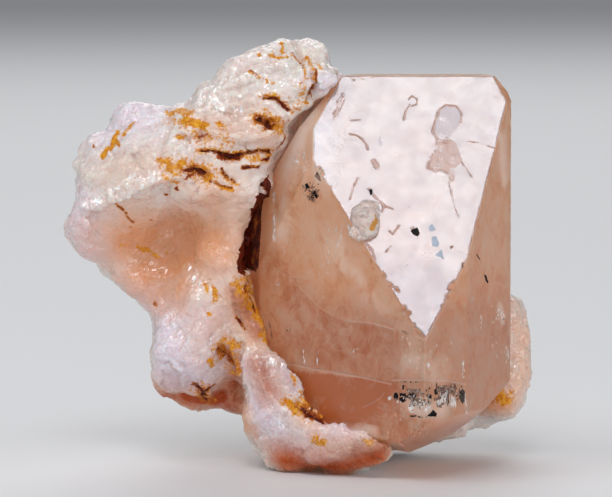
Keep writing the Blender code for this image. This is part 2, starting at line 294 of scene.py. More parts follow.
# A stroke below is a strength, a half width in pixels, and the x and y of each of its points in pixels of
# the photograph. An outline is the x and y of each of its corners.
SWAY_WAVES = 1.1
CELL_SHIFT = 4096
CELL_STRIDES = (1 << 26, 1 << 13, 1)


def pairs(flat):
    return list(zip(flat[::2], flat[1::2]))


def stroke_spots(tree, flat, reach):
    """Places about reach apart where a stroke over the photograph lands on the surface."""
    spots = []
    points = pairs(flat)
    for (u0, v0), (u1, v1) in zip(points, points[1:]):
        steps = max(1, int(math.hypot(u1 - u0, v1 - v0) * PIXEL / reach) + 1)
        for step in range(steps + 1):
            share = step / steps
            spot = spot_on(tree, u0 + (u1 - u0) * share, v0 + (v1 - v0) * share)
            if spot is not None:
                spots.append(spot)
    return spots


class Surface:
    """A mesh's vertices with the search trees that painting needs."""

    def __init__(self, obj):
        self.co = places(obj.data)
        self.tree = tree_of(obj)
        self.finder = KDTree(len(self.co))
        for index, place in enumerate(self.co):
            self.finder.insert(place, index)
        self.finder.balance()

    def painted(self, strokes, fade=2.0):
        """A value at each vertex: a stroke's strength on its middle, and none at fade half widths."""
        values = np.zeros(len(self.co))
        for strength, half_width, *flat in strokes:
            width = half_width * PIXEL
            for spot in stroke_spots(self.tree, flat, 0.5 * width):
                for _, index, gap in self.finder.find_range(spot, width * fade):
                    value = strength * (1.0 - gap / (width * fade))
                    if abs(value) > abs(values[index]):
                        values[index] = value
        return values

    def inside(self, outline, wander):
        """Which vertices fall within an outline, its sides wandering by some pixels."""
        out = self.co - np.array(EYE)
        size = DISTANCE / (out @ np.array(SIGHT)) / PIXEL
        u, v = PIXEL_CENTRE[0] + out[:, 0] * size, PIXEL_CENTRE[1] - (out @ np.array(SCREEN_UP)) * size
        sway = np.array([noise.noise_vector(Vector(p) / MM * SWAY_WAVES)[:2] for p in self.co])
        u, v = u + wander * sway[:, 0], v + wander * sway[:, 1]
        within = np.zeros(len(self.co), bool)
        corners = pairs(outline)
        for (u0, v0), (u1, v1) in zip(corners, corners[1:] + corners[:1]):
            crossed = (v0 > v) != (v1 > v)
            if v0 != v1:
                within ^= crossed & (u < (u1 - u0) * (v - v0) / (v1 - v0) + u0)
        return within


def around(tree, strokes, reach):
    """A test for places that lie within about this reach of some strokes."""
    spots = [spot for _, _, *flat in strokes for spot in stroke_spots(tree, flat, 0.5 * reach)]
    steps = np.array(np.meshgrid(*[(-1, 0, 1)] * 3)).reshape(3, -1).T

    def codes(cells):
        return (cells.astype(np.int64) + CELL_SHIFT) @ np.array(CELL_STRIDES)

    taken = np.unique(codes((np.floor(np.array(spots) / reach)[:, None] + steps).reshape(-1, 3)))
    return lambda middle: np.isin(codes(np.floor(middle / reach)), taken)


def step_up(values, low, high):
    return np.clip((values - low) / (high - low), 0.0, 1.0)


def hollowness(mesh):
    """How far each vertex lies below the mean of its surroundings, in metres."""
    edges = np.empty(len(mesh.edges) * 2, np.int64)
    mesh.edges.foreach_get("vertices", edges)
    a, b = edges.reshape(-1, 2).T
    co = places(mesh)
    count = len(co)
    degree = np.bincount(a, minlength=count) + np.bincount(b, minlength=count)
    mean = co
    for _ in range(CREASE_ROUNDS):
        sums = [np.bincount(a, part[b], count) + np.bincount(b, part[a], count) for part in mean.T]
        mean = np.array(sums).T / degree[:, None]
    return ((mean - co) * directions(mesh)).sum(axis=1)


# The albite

ROCK_GRID = 0.52 * MM
# The fine grids end where the faces are about edge-on to the camera.
EDGE_ON = 0.05
# A length past the whole specimen.
SPAN = 0.1
# The skin over the CAD shape, in mm and waves per mm: broken facets (size, share of it in height, start
# of the noise), the bend of their edges, and the ledges of the slab's tilted thin layers.
ROCK_FACETS = ((3.1, 0.26, 0.0), (1.25, 0.20, 7.0), (0.62, 0.16, 3.0))
FACET_STEP = 0.12
FACET_STEP_WAVES = 5.3
FACET_TILT_WAVES = 9.7
BEND, BEND_WAVES = 0.35, 0.7
LAYER_ALONG, LAYER_RISE = 0.88, 0.47
LAYER_THINNESS = 3.2
LEDGE, LEDGE_WAVES = 0.26, 0.38
LEDGES_FROM, LEDGES_FULL, LEAST_LEDGE = 30.0, 38.0, 0.2
ROUGHNESS, ROUGHNESS_WAVES = 0.05, 3.1
SPARKLE_ROUGHNESS, SPARKLE_WAVES = 0.12, 4.6
# How much smoother the glassy hollows are.
GLASSY_CALM = 0.65
# The strengths at which a stroke starts to show and shows fully in the relief.
SHOWN = (0.2, 0.6)
RELIEF_FADE = 1.6
# The rock keeps clear of the crystal within this reach, and is flat where it rests.
CLEARANCE = 0.8 * MM
REST_REACH = 0.3 * MM
BOX_INSET = 0.02 * MM
BY_CRYSTAL = 7.0 * MM
CREASE_DEPTH = 0.12 * MM
CREASE_ROUNDS = 6
CREVICE_STRENGTH, SEAM_STRENGTH, BLOT_STRENGTH = 1.25, 0.62, 0.8
BLOTS = ((1.0, 0.16), (0.6, 0.6))

# Grooves (negative, in mm of depth) and ridges (positive) that the photograph shows on the albite.
ALBITE_RELIEF = (
    (-1.6, 3, 264, 182, 261, 196, 256, 212),
    (-2.2, 5, 252, 216, 249, 230, 246, 246, 243, 266),
    (-0.8, 1.8, 263, 97, 276, 99, 288, 111),
    (-1.2, 3.4, 258, 119, 268, 123, 279, 128),
    (-0.8, 1.8, 201, 149, 216, 153, 232, 157, 250, 152, 270, 151),
    (-0.7, 3.4, 186, 169, 196, 171, 206, 174),
    (-0.5, 1.6, 222, 171, 228, 178, 236, 182),
    (-0.4, 1.4, 210, 181, 231, 188),
    (-1.1, 2.6, 312, 72, 315, 86, 310, 101),
    (-0.5, 2, 232, 292, 236, 310, 244, 328),
    (-0.8, 2, 264, 322, 269, 333, 271, 345),
    (-0.9, 5, 222, 350, 228, 362, 236, 376),
    (-0.4, 3, 196, 388, 204, 394, 213, 388),
    (-1, 5, 300, 404, 310, 411, 324, 420),
    (-1, 4, 240, 345, 236, 362, 240, 380, 238, 398),
    (-0.9, 2.6, 293, 40, 298, 52, 303, 62),
    (-0.5, 3, 206, 92, 203, 106, 206, 122, 200, 138),
    (-0.4, 3, 172, 108, 170, 125, 165, 140, 162, 160),
    (-0.3, 2, 212, 108, 232, 116, 250, 112),
    (-0.3, 2, 218, 92, 240, 88, 262, 78),
    (-0.3, 1.8, 214, 128, 232, 132, 252, 130),
    (-0.3, 2, 236, 74, 256, 64, 276, 62),
    (0.6, 4, 84, 206, 100, 205, 118, 198, 138, 188, 160, 178, 176, 176),
    (0.4, 4, 222, 110, 236, 104, 252, 100),
    (0.4, 4, 205, 128, 222, 136, 244, 138, 262, 136),
    (0.4, 4, 214, 164, 236, 166, 256, 164),
    (0.5, 5, 330, 428, 350, 425, 372, 428, 386, 426),
    (0.5, 4, 284, 352, 296, 372, 300, 392),
    (0.4, 4, 255, 357, 262, 385, 282, 410),
)
DARK_STAINS = (
    (1, 1.8, 263, 97, 270, 98, 276, 99, 283, 104, 289, 110),
    (1, 4.6, 259, 120, 267, 123, 275, 126),
    (1, 1.7, 201, 149, 212, 152, 222, 155, 231, 157, 238, 155, 246, 153, 258, 152, 270, 152),
    (1.1, 3.4, 222, 156, 238, 157.5),
    (0.9, 4.4, 187, 170, 195, 169, 203, 173),
    (0.9, 1.8, 187, 176, 196, 172, 206, 174),
    (1, 1.6, 222, 169, 224, 174, 228, 178, 236, 182),
    (0.9, 1.2, 210, 181, 220, 185, 231, 188),
    (1, 1.8, 316, 70, 314, 80, 311, 92, 311, 99),
    (0.9, 1.5, 285, 137, 282, 144, 276, 149),
    (0.9, 1.5, 199.5, 137, 206, 135),
    (0.9, 1.2, 116, 204, 122, 209, 127, 214),
    (0.8, 1.1, 127, 216, 131, 221, 134, 223),
    (0.7, 1.2, 150, 220, 153, 221),
    (0.7, 1.1, 130, 227, 133, 228),
    (1.1, 1.2, 93, 145.6, 93.5, 146),
    (1.1, 1.8, 266, 318, 270, 332, 271, 345),
    (0.9, 1.4, 246, 290, 253, 302, 255, 312),
    (0.9, 1.4, 236, 318, 240, 322, 245, 329),
    (0.75, 4.5, 222, 350, 228, 360, 234, 370),
    (1.1, 3.4, 195, 386, 203, 393, 212, 387),
    (1.1, 3.4, 203, 393, 206, 400),
    (0.9, 5, 303, 407, 310, 411, 318, 416),
    (1.2, 1.8, 309, 400, 313, 404, 312, 408),
    (1.2, 3.2, 306, 414, 315, 416, 326, 420),
    (1.2, 3.4, 304, 408, 311, 412, 318, 417),
    (0.9, 1.8, 176, 188, 178, 189),
    (0.8, 1.4, 165, 195, 167, 195),
    (0.8, 1.8, 154, 304, 156, 305),
    (0.9, 3, 247, 283, 244, 290),
    (1, 1.6, 242, 168, 252, 166, 258, 166),
    (1, 1.8, 262, 160, 270, 159),
    (0.8, 1.2, 197, 142, 203, 140),
    (0.8, 1, 291, 52, 296, 56, 302, 62, 303, 68),
    (0.7, 1.4, 250, 70, 257, 75),
)
# The crevice between the albite and the crystal's left side; its shade is painted dark on both.
CREVICE = (
    270, 174, 265, 179, 262.5, 185, 265, 189, 267, 194, 256, 196, 251.7, 211, 248.7, 231, 241, 248, 237,
    262, 238, 271, 243, 276, 247, 268, 256, 272, 258.6, 265, 260.2, 239, 261.5, 213, 263.5, 199, 269,
    197, 270, 188, 269, 182,
)
# The ochre seam below it.
OCHRE_SEAM = (
    240, 278, 256, 272, 262, 290, 270, 318, 276, 345, 268, 345, 258, 322, 246, 300,
)
YELLOW_STAINS = (
    (0.9, 3.4, 201, 149, 222, 153, 238, 153, 258, 150, 272, 150),
    (0.9, 2.6, 222, 172, 228, 180, 238, 184),
    (0.9, 2.2, 210, 180, 222, 187, 232, 190),
    (0.8, 3, 306, 58, 312, 66, 314, 76),
    (0.9, 2.6, 313, 84, 310, 96, 306, 104),
    (0.8, 2.6, 264, 95, 276, 97, 289, 108, 292, 112),
    (0.7, 2, 205, 116, 206, 124, 204, 132),
    (0.8, 2.2, 160, 166, 164, 176, 172, 180, 182, 184),
    (1.15, 2.8, 117, 131, 112, 140, 110, 146, 103, 156),
    (1.1, 2.4, 113, 138, 119, 146),
    (0.9, 3, 124, 134, 130, 128, 135, 122),
    (1.3, 5, 170, 112, 178, 109, 188, 112),
    (1.4, 4.4, 186, 120, 195, 124, 205, 125),
    (0.6, 10, 172, 118, 190, 128, 205, 140),
    (0.9, 4, 178, 136, 183, 138),
    (0.9, 6, 163, 160, 168, 164, 172, 170),
    (0.8, 4, 218, 124, 226, 128),
    (0.9, 3, 251, 72, 259, 77),
    (0.8, 2.6, 266, 81, 272, 84),
    (0.9, 3.2, 270, 56, 277, 57, 286, 56),
    (0.8, 3, 282, 43, 283, 52),
    (0.75, 2.2, 291, 54, 301, 60, 305, 72, 304, 84),
    (0.8, 3, 256, 53, 259, 55),
    (0.6, 6, 305, 80, 302, 94, 299, 106),
    (0.9, 3, 318, 62, 321, 68),
    (0.8, 1.6, 243, 167, 255, 165, 271, 161),
    (0.7, 1.4, 246, 162, 258, 160, 268, 158),
    (0.8, 3.2, 138, 248, 148, 251, 158, 257),
    (0.7, 2.6, 122, 245, 126, 246),
    (0.7, 2.2, 167, 253, 169, 254),
    (0.8, 6, 236, 284, 242, 294, 250, 306, 258, 318),
    (1.1, 3, 244, 288, 252, 302, 260, 317),
    (0.9, 3, 205, 284, 207, 292),
    (0.9, 3.4, 213, 289, 217, 296, 213, 302),
    (0.9, 2.2, 208, 313, 211, 315),
    (0.9, 5, 224, 338, 230, 342, 235, 345),
    (0.8, 4, 210, 359, 213, 366),
    (0.9, 4, 262, 336, 267, 343),
    (0.9, 3.4, 281, 354, 286, 361, 291, 367),
    (0.8, 2.6, 291, 374, 293, 380, 295, 387),
    (0.9, 3.4, 301, 381, 303, 390, 306, 398),
    (0.9, 7, 287, 402, 295, 408, 303, 412),
    (0.8, 6, 314, 439, 322, 443),
    (0.6, 5, 364, 441, 372, 442),
    (0.7, 6, 200, 150, 215, 151, 232, 159, 250, 156, 270, 154),
    (0.8, 10, 183, 165, 195, 168, 208, 176),
    (0.8, 10, 258, 118, 268, 120, 282, 128),
    (0.6, 5, 262, 95, 275, 95, 290, 108),
    (0.9, 9, 497, 394, 503, 397, 508, 398),
    (0.8, 9, 200, 390, 206, 398),
    (0.7, 12, 222, 348, 230, 360, 236, 374),
    (0.8, 12, 302, 403, 315, 412, 326, 420),
    (0.5, 14, 185, 125, 200, 132, 215, 138, 230, 145),
)
# Painted glow: where the albite is thin or shaded, the peach of light that has passed through it is
# painted into its colour. The first three hollows are smooth and glassy too.
PEACH_HOLLOWS = (
    (1, 36, 130, 238, 155, 240, 185, 235, 205, 240),
    (1, 30, 150, 270, 175, 265, 200, 245),
    (0.8, 24, 160, 290, 180, 285),
    (0.7, 26, 215, 205, 225, 230, 228, 255),
    (0.35, 26, 215, 275, 225, 300, 215, 330),
    (0.9, 20, 160, 395, 190, 402, 225, 402),
    (0.9, 16, 232, 385, 236, 405, 245, 422),
    (1.1, 14, 285, 464, 310, 468, 350, 468, 385, 456),
    (0.5, 16, 270, 450, 320, 452, 380, 445),
    (0.45, 13, 256, 362, 262, 376, 270, 392),
    (0.4, 10, 300, 418, 330, 440, 360, 442),
    (0.3, 16, 110, 172, 150, 164, 185, 190),
    (0.35, 20, 215, 130, 250, 120, 270, 138),
    (0.5, 26, 520, 330, 524, 365, 515, 400),
    (0.8, 14, 492, 408, 510, 404),
    (0.8, 14, 236, 296, 246, 318, 256, 334),
)
GLASSY_HOLLOWS = PEACH_HOLLOWS[:3]
# Rust stains, and painted shade in the same reds on the toe and the undersides.
RUSTY_SHADES = (
    (0.75, 13, 262, 366, 264, 376, 268, 390),
    (0.4, 7, 288, 376, 294, 388),
    (0.45, 16, 165, 386, 190, 390, 225, 394),
    (1, 13, 166, 396, 186, 401, 222, 406),
    (2.2, 9, 190, 396, 203, 400, 218, 398),
    (1.1, 9, 228, 352, 234, 368, 234, 386),
    (1.2, 11, 226, 404, 234, 414, 242, 428),
    (1.25, 14, 285, 461, 310, 466, 335, 467, 355, 464, 378, 457),
    (0.9, 8, 238, 292, 250, 312, 260, 332),
    (0.7, 8, 243, 270, 246, 284),
)
# Parts whose white leans to lavender.
LAVENDER_PARTS = (
    (1, 22, 80, 215, 78, 235, 95, 250),
    (0.8, 24, 120, 108, 150, 112, 100, 130),
    (1, 26, 150, 300, 168, 330, 170, 365, 190, 378),
    (0.7, 14, 205, 320, 208, 345),
    (1, 18, 255, 405, 268, 430, 290, 448, 310, 452),
    (0.8, 10, 246, 366, 250, 374),
    (0.6, 11, 258, 366, 266, 384, 276, 402),
    (0.8, 7, 286, 372, 292, 388),
    (1, 12, 330, 428, 352, 430, 378, 428),
    (0.7, 16, 322, 80, 338, 78),
)
SPARKLES = (
    (1, 4, 73, 202, 82, 201, 91, 199),
    (1, 5, 97, 198, 110, 192, 126, 188, 143, 185),
    (0.8, 4, 161, 185, 178, 182, 193, 181),
    (1, 5, 199, 104, 212, 101, 226, 106, 240, 110),
    (1, 4, 228, 79, 244, 76, 262, 76),
    (0.9, 5, 190, 268, 194, 280, 197, 292),
    (1, 7, 86, 204, 100, 204),
    (1, 7, 114, 195, 130, 190, 147, 187),
    (1, 6, 131, 178, 155, 176),
    (1, 7, 190, 276, 198, 284),
    (1, 10, 262, 434, 282, 426),
    (1, 7, 266, 362, 278, 361),
    (1, 7, 208, 104, 222, 107, 236, 112),
    (1, 5, 262, 76, 268, 82),
    (0.42, 20, 240, 370, 270, 400, 300, 440, 360, 430),
    (0.5, 24, 85, 220, 80, 240, 100, 250),
    (0.5, 22, 170, 320, 190, 350, 180, 372),
    (0.5, 20, 225, 95, 250, 80, 275, 70),
)

WHITES = ((0.83, 0.74, 0.67), (0.86, 0.80, 0.77))
PINK = (0.80, 0.67, 0.61)
LAVENDERS = ((0.84, 0.77, 0.84), (0.76, 0.62, 0.69))
CREASE_TINT = (0.72, 0.47, 0.36)
PEACH = (0.80, 0.39, 0.21)
RUSTS = ((0.47, 0.075, 0.010), (0.34, 0.040, 0.003))
OCHRES = ((0.84, 0.40, 0.025), (0.58, 0.17, 0.004))
HALO_BROWNS = ((0.36, 0.055, 0.002), (0.60, 0.19, 0.008))
DARK_BROWNS = ((0.17, 0.014, 0.001), (0.024, 0.002, 0.001))
FLASH_WHITE = (0.97, 0.95, 0.96)
ALBITE_IOR = 1.53


def rock_mesh():
    """The albite's CAD mesh on an even grid, twice as fine where the camera sees it."""
    rock = copy_of("albite_matrix", "albite_matrix_fine")
    even_grid(rock, ROCK_GRID)
    tree = tree_of(rock)
    bm = bmesh.new()
    bm.from_mesh(rock.data)
    seen = set()
    for face in bm.faces:
        if face.normal.dot(SIGHT) < EDGE_ON:
            start = face.calc_center_median() + face.normal * ROCK_GRID
            if tree.ray_cast(start, EYE - start, SPAN)[0] is None:
                seen.update(face.edges)
    edges = [edge for edge in bm.edges if edge in seen]
    bmesh.ops.subdivide_edges(bm, edges=edges, cuts=1, use_grid_fill=True)
    bmesh.ops.triangulate(bm, faces=bm.faces)
    bm.to_mesh(rock.data)
    bm.free()
    return rock


def facets(p, size, start):
    """The height of broken flat facets of about this size, each with its own tilt and level."""
    spot = p / size + Vector((start, 0.0, 0.0))
    middle = noise.voronoi(spot)[1][0]
    step = FACET_STEP * size * noise.noise(middle * FACET_STEP_WAVES)
    return noise.noise_vector(middle * FACET_TILT_WAVES).dot(spot - middle) * size + step


def rock_relief(place):
    """The height of the albite's skin over its CAD shape at a place, in mm."""
    p = Vector(place) / MM
    bent = p + BEND * noise.noise_vector(p * BEND_WAVES)
    up = (p.z * LAYER_ALONG - p.x * LAYER_RISE) * LAYER_THINNESS
    along = Vector((p.x * LAYER_ALONG + p.z * LAYER_RISE, p.y, up))
    ledges = min(max((p.z - LEDGES_FROM) / (LEDGES_FULL - LEDGES_FROM), LEAST_LEDGE), 1.0)
    height = sum(share * facets(bent, size, start) for size, share, start in ROCK_FACETS)
    height += LEDGE * noise.noise(along * LEDGE_WAVES) * ledges
    return height + ROUGHNESS * noise.noise(p * ROUGHNESS_WAVES)


def make_rock():
    rock = rock_mesh()
    mesh = rock.data
    surface = Surface(rock)
    co = surface.co
    normals = directions(mesh)
    glassy = step_up(surface.painted(GLASSY_HOLLOWS), *SHOWN)
    sparkle = surface.painted(SPARKLES)
    push = np.array([rock_relief(place) for place in co]) * (1.0 - GLASSY_CALM * glassy)
    push += surface.painted(ALBITE_RELIEF, RELIEF_FADE)
    push += SPARKLE_ROUGHNESS * step_up(sparkle, *SHOWN) * noise_at(co, (1.0, SPARKLE_WAVES))
    planes, reach = crystal_planes()
    to_crystal = (co @ planes.T - reach).max(axis=1)
    push[to_crystal < CLEARANCE] = np.minimum(push[to_crystal < CLEARANCE], 0.0)
    low, high = (np.array(corner) for corner in CAD_BOX)
    moved = np.clip(co + normals * push[:, None] * MM, low + BOX_INSET, high - BOX_INSET)
    moved[co[:, 2] < REST_REACH, 2] = 0.0
    put_places(mesh, moved)
    away = normals @ np.array(SIGHT)
    by_crystal = to_crystal < BY_CRYSTAL
    # Painted shade: the deep crevice by the crystal is painted dark in the same field as the dark stains.
    crevice = surface.inside(CREVICE, 1.0) & by_crystal & (away < 0.4)
    seam = surface.inside(OCHRE_SEAM, 1.0) & by_crystal
    # The sides that the photograph doesn't show have blots of the same yellow.
    blots = step_up(away, 0.0, 0.3) * step_up(noise_at(co, *BLOTS), 0.25, 0.7)
    yellow = np.maximum(surface.painted(YELLOW_STAINS), SEAM_STRENGTH * seam)
    write_fields(
        mesh,
        dark=np.maximum(surface.painted(DARK_STAINS), CREVICE_STRENGTH * crevice),
        yellow=np.maximum(yellow, BLOT_STRENGTH * blots),
        peach=surface.painted(PEACH_HOLLOWS),
        rust=surface.painted(RUSTY_SHADES),
        lavender=surface.painted(LAVENDER_PARTS),
        sparkle=sparkle,
        crease=np.clip(hollowness(mesh) / CREASE_DEPTH, -1.0, 1.0),
    )
    cover(mesh, albite_material())
    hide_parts("albite_matrix")
    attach(rock, "root")


def crystal_planes():
    """The crystal's faces as outward directions and distances."""
    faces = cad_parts["topaz_crystal"].data.polygons
    return (
        np.array([face.normal for face in faces]),
        np.array([face.normal.dot(face.center) for face in faces]),
    )


def albite_material():
    n = Nodes("albite")
    broad = n.noise(140.0, 4.0, 0.6)
    patchy = n.noise(560.0, 5.0, 0.65)
    fine = n.noise(2400.0, 4.0, 0.7)
    ragged = n.plus(n.times(n.ramp(n.noise(950.0, 6.0, 0.8), 0.34, 0.66), 0.65),
                    n.times(n.ramp(n.noise(2700.0, 4.0, 0.7), 0.36, 0.64), 0.35))
    white = n.mix(n.ramp(broad, 0.35, 0.65), *WHITES)
    pink = n.mix(n.ramp(patchy, 0.42, 0.72), white, PINK)
    lavender = n.mix(n.ramp(patchy, 0.4, 0.75), *LAVENDERS)
    skin = n.mix(n.broken("lavender", broad, 0.6, 0.3, 1.1), pink, lavender)
    # Painted shade: creases and hollows are darkened and warmed in the colour.
    creased = n.mix(n.broken("crease", fine, 0.4, 0.35, 1.3, 0.35), skin, CREASE_TINT)
    # Painted glow: the peach of light that has passed through thin or shaded albite.
    warm = n.mix(n.broken("peach", broad, 0.5, 0.25, 1.1), creased, PEACH)
    # Rust, with painted shade on the toe and the undersides.
    rust = n.broken("rust", ragged, 0.35, 0.2, 1.4)
    rusted = n.mix(rust, warm, n.mix(n.ramp(broad, 0.4, 0.6), *RUSTS))
    yellow = n.broken("yellow", ragged, 1.0, 0.9, 1.15)
    stained = n.mix(yellow, rusted, n.mix(n.ramp(fine, 0.38, 0.62), *OCHRES))
    halo = n.broken("dark", ragged, 0.95, 0.75, 1.0)
    haloed = n.mix(halo, stained, n.mix(n.ramp(patchy, 0.4, 0.6), *HALO_BROWNS))
    # Painted glints: small near-white streaks painted into the colour where the albite sparkles.
    flash = n.times(n.ramp(n.noise((1900.0, 1900.0, 800.0), 4.0, 0.7), 0.53, 0.59),
                    n.ramp(n.field("sparkle"), 0.45, 0.85))
    flashed = n.mix(n.times(flash, 0.85), haloed, FLASH_WHITE)
    dark = n.broken("dark", ragged, 0.8, 0.98, 1.2)
    colour = n.mix(dark, flashed, n.mix(n.ramp(fine, 0.4, 0.62), *DARK_BROWNS))
    rough = n.plus(n.ramp(n.noise(1400.0, 4.0, 0.7), 0.3, 0.7, 0.18, 0.42), n.times(dark, 0.3))
    coarse_sugar = n.bump(n.cells(1500.0), 0.28, 0.25 * MM)
    fine_sugar = n.bump(n.cells(3600.0), 0.45, 0.16 * MM, coarse_sugar)
    stain = n.most(n.most(halo, yellow), rust)
    plain = n.minus(1.0, n.times(stain, 0.85))
    n.set(Base_Color=colour, Roughness=rough, Normal=n.bump(fine, 0.2, 0.1 * MM, fine_sugar))
    n.set(IOR=ALBITE_IOR, Specular_IOR_Level=0.12)
    n.set(Subsurface_Weight=n.times(plain, 0.6), Subsurface_Scale=1.7 * MM)
    n.set(Subsurface_Radius=(1.0, 0.55, 0.40))
    glint = n.ramp(n.noise(900.0, 3.0, 0.7), 0.46, 0.54)
    shine = n.times(n.plus(n.field("sparkle"), 0.35), glint, clamp=True)
    n.set(Coat_Weight=n.times(n.plus(shine, 0.3, clamp=True), plain), Coat_Roughness=0.06, Coat_IOR=2.0)
    # The cleavage flakes that catch the light lie about as the crystal's big face does.
    cleaved = n.ramp(n.times(n.field("sparkle"), glint), 0.3, 0.8, 0.0, 0.9)
    n.set(Coat_Normal=n.tilted(2100.0, 0.55, cleaved, tuple(DOME_DIRECTION)))
    return n.material


# The small grain on the crystal's edge

GRAIN_GRID = 0.12 * MM
# Its lumps, as shares of a mm and waves per mm, and how far they may rise over their mean.
GRAIN_LUMPS = ((0.55, 0.9), (0.25, 2.7))
GRAIN_RISE = 0.12
GRAIN_SPOT = ((1.0, 3.0, 377, 217, 376, 222, 372, 228),)
GRAIN_GREYS = ((0.86, 0.68, 0.60), (0.93, 0.82, 0.77))
GRAIN_YELLOW = (0.74, 0.34, 0.03)


def make_grain():
    grain = copy_of("albite_grain", "albite_grain_fine")
    even_grid(grain, GRAIN_GRID)
    mesh = grain.data
    surface = Surface(grain)
    sink = np.minimum(noise_at(surface.co, *GRAIN_LUMPS), GRAIN_RISE) - GRAIN_RISE
    put_places(mesh, surface.co + directions(mesh) * sink[:, None] * MM)
    write_fields(mesh, yellow=surface.painted(GRAIN_SPOT))
    n = Nodes("albite_grain")
    spot = n.broken("yellow", n.noise(1800.0, 5.0, 0.7), 1.0, 0.95, 1.15)
    grey = n.mix(n.ramp(n.noise(700.0), 0.35, 0.65), *GRAIN_GREYS)
    rough = n.ramp(n.noise(1500.0), 0.3, 0.7, 0.2, 0.5)
    n.set(Base_Color=n.mix(spot, grey, GRAIN_YELLOW), Roughness=rough)
    n.set(IOR=ALBITE_IOR, Transmission_Weight=0.4, Normal=n.bump(n.cells(2200.0), 0.2, 0.2 * MM))
    n.set(Subsurface_Weight=0.5, Subsurface_Scale=0.5 * MM, Subsurface_Radius=(1.0, 0.8, 0.7))
    cover(mesh, n.material)
    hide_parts("albite_grain")
    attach(grain, "root")


# The topaz

DOME_GRID = 0.32 * MM
EDGE_GRID = 0.25 * MM
FACE_GRID = 0.62 * MM
REAR_GRID = 1.4 * MM
MARK_GRID = 0.16 * MM
MARK_REACH = 0.3 * MM
SEAM_REACH = 1.2 * MM
# How fast the grid coarsens away from an edge, and how much coarser it is out of view.
GRID_GROWTH = 0.25
REAR_COARSER = 2.2
REFINE_ROUNDS = 12
# The wear of the edges in mm: the least and the usual, then nicks and finer wear (height, waves per mm).
LEAST_WEAR, WEAR = 0.03, 0.05
NICKS, FINE_WEAR = (0.12, 0.9), (0.05, 2.6)
# How deep the chips bite, evenly and with teeth.
CHIP_DEPTH, CHIP_BITE = 1.7, 0.12
CHIP_TEETH = ((0.9, 0.7), (0.7, 1.6), (0.3, 4.0))
# The marks in the faces, with depths in mm.
PIT_FADE, PIT_DEPTH, PIT_UNEVEN = 1.7, 0.045, 0.03
PIT_FLOOR = ((1.0, 1.5), (0.5, 3.4))
PIT_EDGE = 0.16
GROWTH_DEPTH = 0.012
GROWTH_WAVES = (1.7, 1.7, 0.05)
CRACK_FADE, CRACK_DEPTH = 1.6, 0.05
OUTLINED_STRENGTH = 0.5
CRYSTAL_CREVICE = 1.3

# Pits in the big face, where its reflection breaks.
DOME_PITS = (
    (0.5, 4, 344, 95, 339, 101, 337, 109, 334, 117),
    (0.5, 1.2, 346, 96, 342, 106, 337, 116),
    (0.6, 1, 351, 120, 360, 120),
    (0.8, 1, 350, 134, 356, 135, 361, 138, 366, 144, 368, 149),
    (1, 2.4, 374, 161, 377, 166),
    (0.7, 1, 409, 99, 412, 96, 417, 99, 417, 104, 412, 106),
    (0.7, 1.2, 410, 105, 406, 110, 404, 120),
    (0.6, 1.4, 440, 109, 446, 105, 456, 106, 462, 113, 461, 122),
    (0.7, 1.8, 439, 112, 435, 122, 433, 132, 438, 139),
    (0.4, 1.4, 457, 130, 450, 137, 444, 139),
    (0.5, 1.3, 449, 182, 452, 194, 455, 207, 460, 220),
    (0.6, 0.9, 460, 160, 466, 168, 472, 177),
    (0.5, 0.8, 465, 141, 480, 143, 497, 149),
    (0.6, 1.6, 369, 189, 376, 198, 384, 206, 393, 209),
    (0.7, 1.1, 384, 206, 382, 212),
    (0.7, 1.1, 389, 231, 393, 234, 399, 226),
    (0.6, 1, 386, 252, 391, 246),
    (0.9, 1.3, 362, 246, 367, 244, 372, 250, 375, 260, 370, 267),
    (0.9, 2.6, 352, 222, 360, 236, 364, 252, 362, 262),
    (0.5, 2.4, 358, 179, 353, 188, 350, 199),
    (1.2, 1.6, 413, 229, 417, 234),
)
# The oval frosted scar on the big face, and the broad shallow pit below it.
OVAL_FROST = (
    446, 106, 455, 107, 461, 113, 461, 121, 456, 130, 449, 136, 441, 138, 435, 134, 434, 126, 437, 118,
    440, 110,
)
BROAD_PIT = (
    436, 141, 445, 138.5, 455, 142, 459, 151, 462, 160, 457, 166, 454, 172, 456, 181, 451, 182, 447,
    174, 441, 170, 434, 174, 427, 168, 430, 158, 434, 151,
)
# Chips along the big face's lower edges.
EDGE_CHIPS = (
    (0.7, 2.6, 364, 252, 369, 262),
    (1, 3.2, 380, 276, 392, 289),
    (1, 3.6, 394, 291, 402, 303),
    (1, 3.4, 402, 305, 408, 316, 414, 326),
    (1, 2.8, 415, 328, 421, 338),
    (0.6, 2, 368, 262, 382, 280),
    (0.6, 2, 455, 283, 449, 292, 440, 312),
    (0.7, 2, 350, 190, 344, 204),
    (0.6, 1.6, 316, 160, 321, 172, 330, 186),
    (0.6, 1.6, 352, 80, 362, 80),
)
# A bluish frosted spot on the big face.
DOME_FROST = (
    (0.5, 3.4, 379, 136, 381, 145),
)
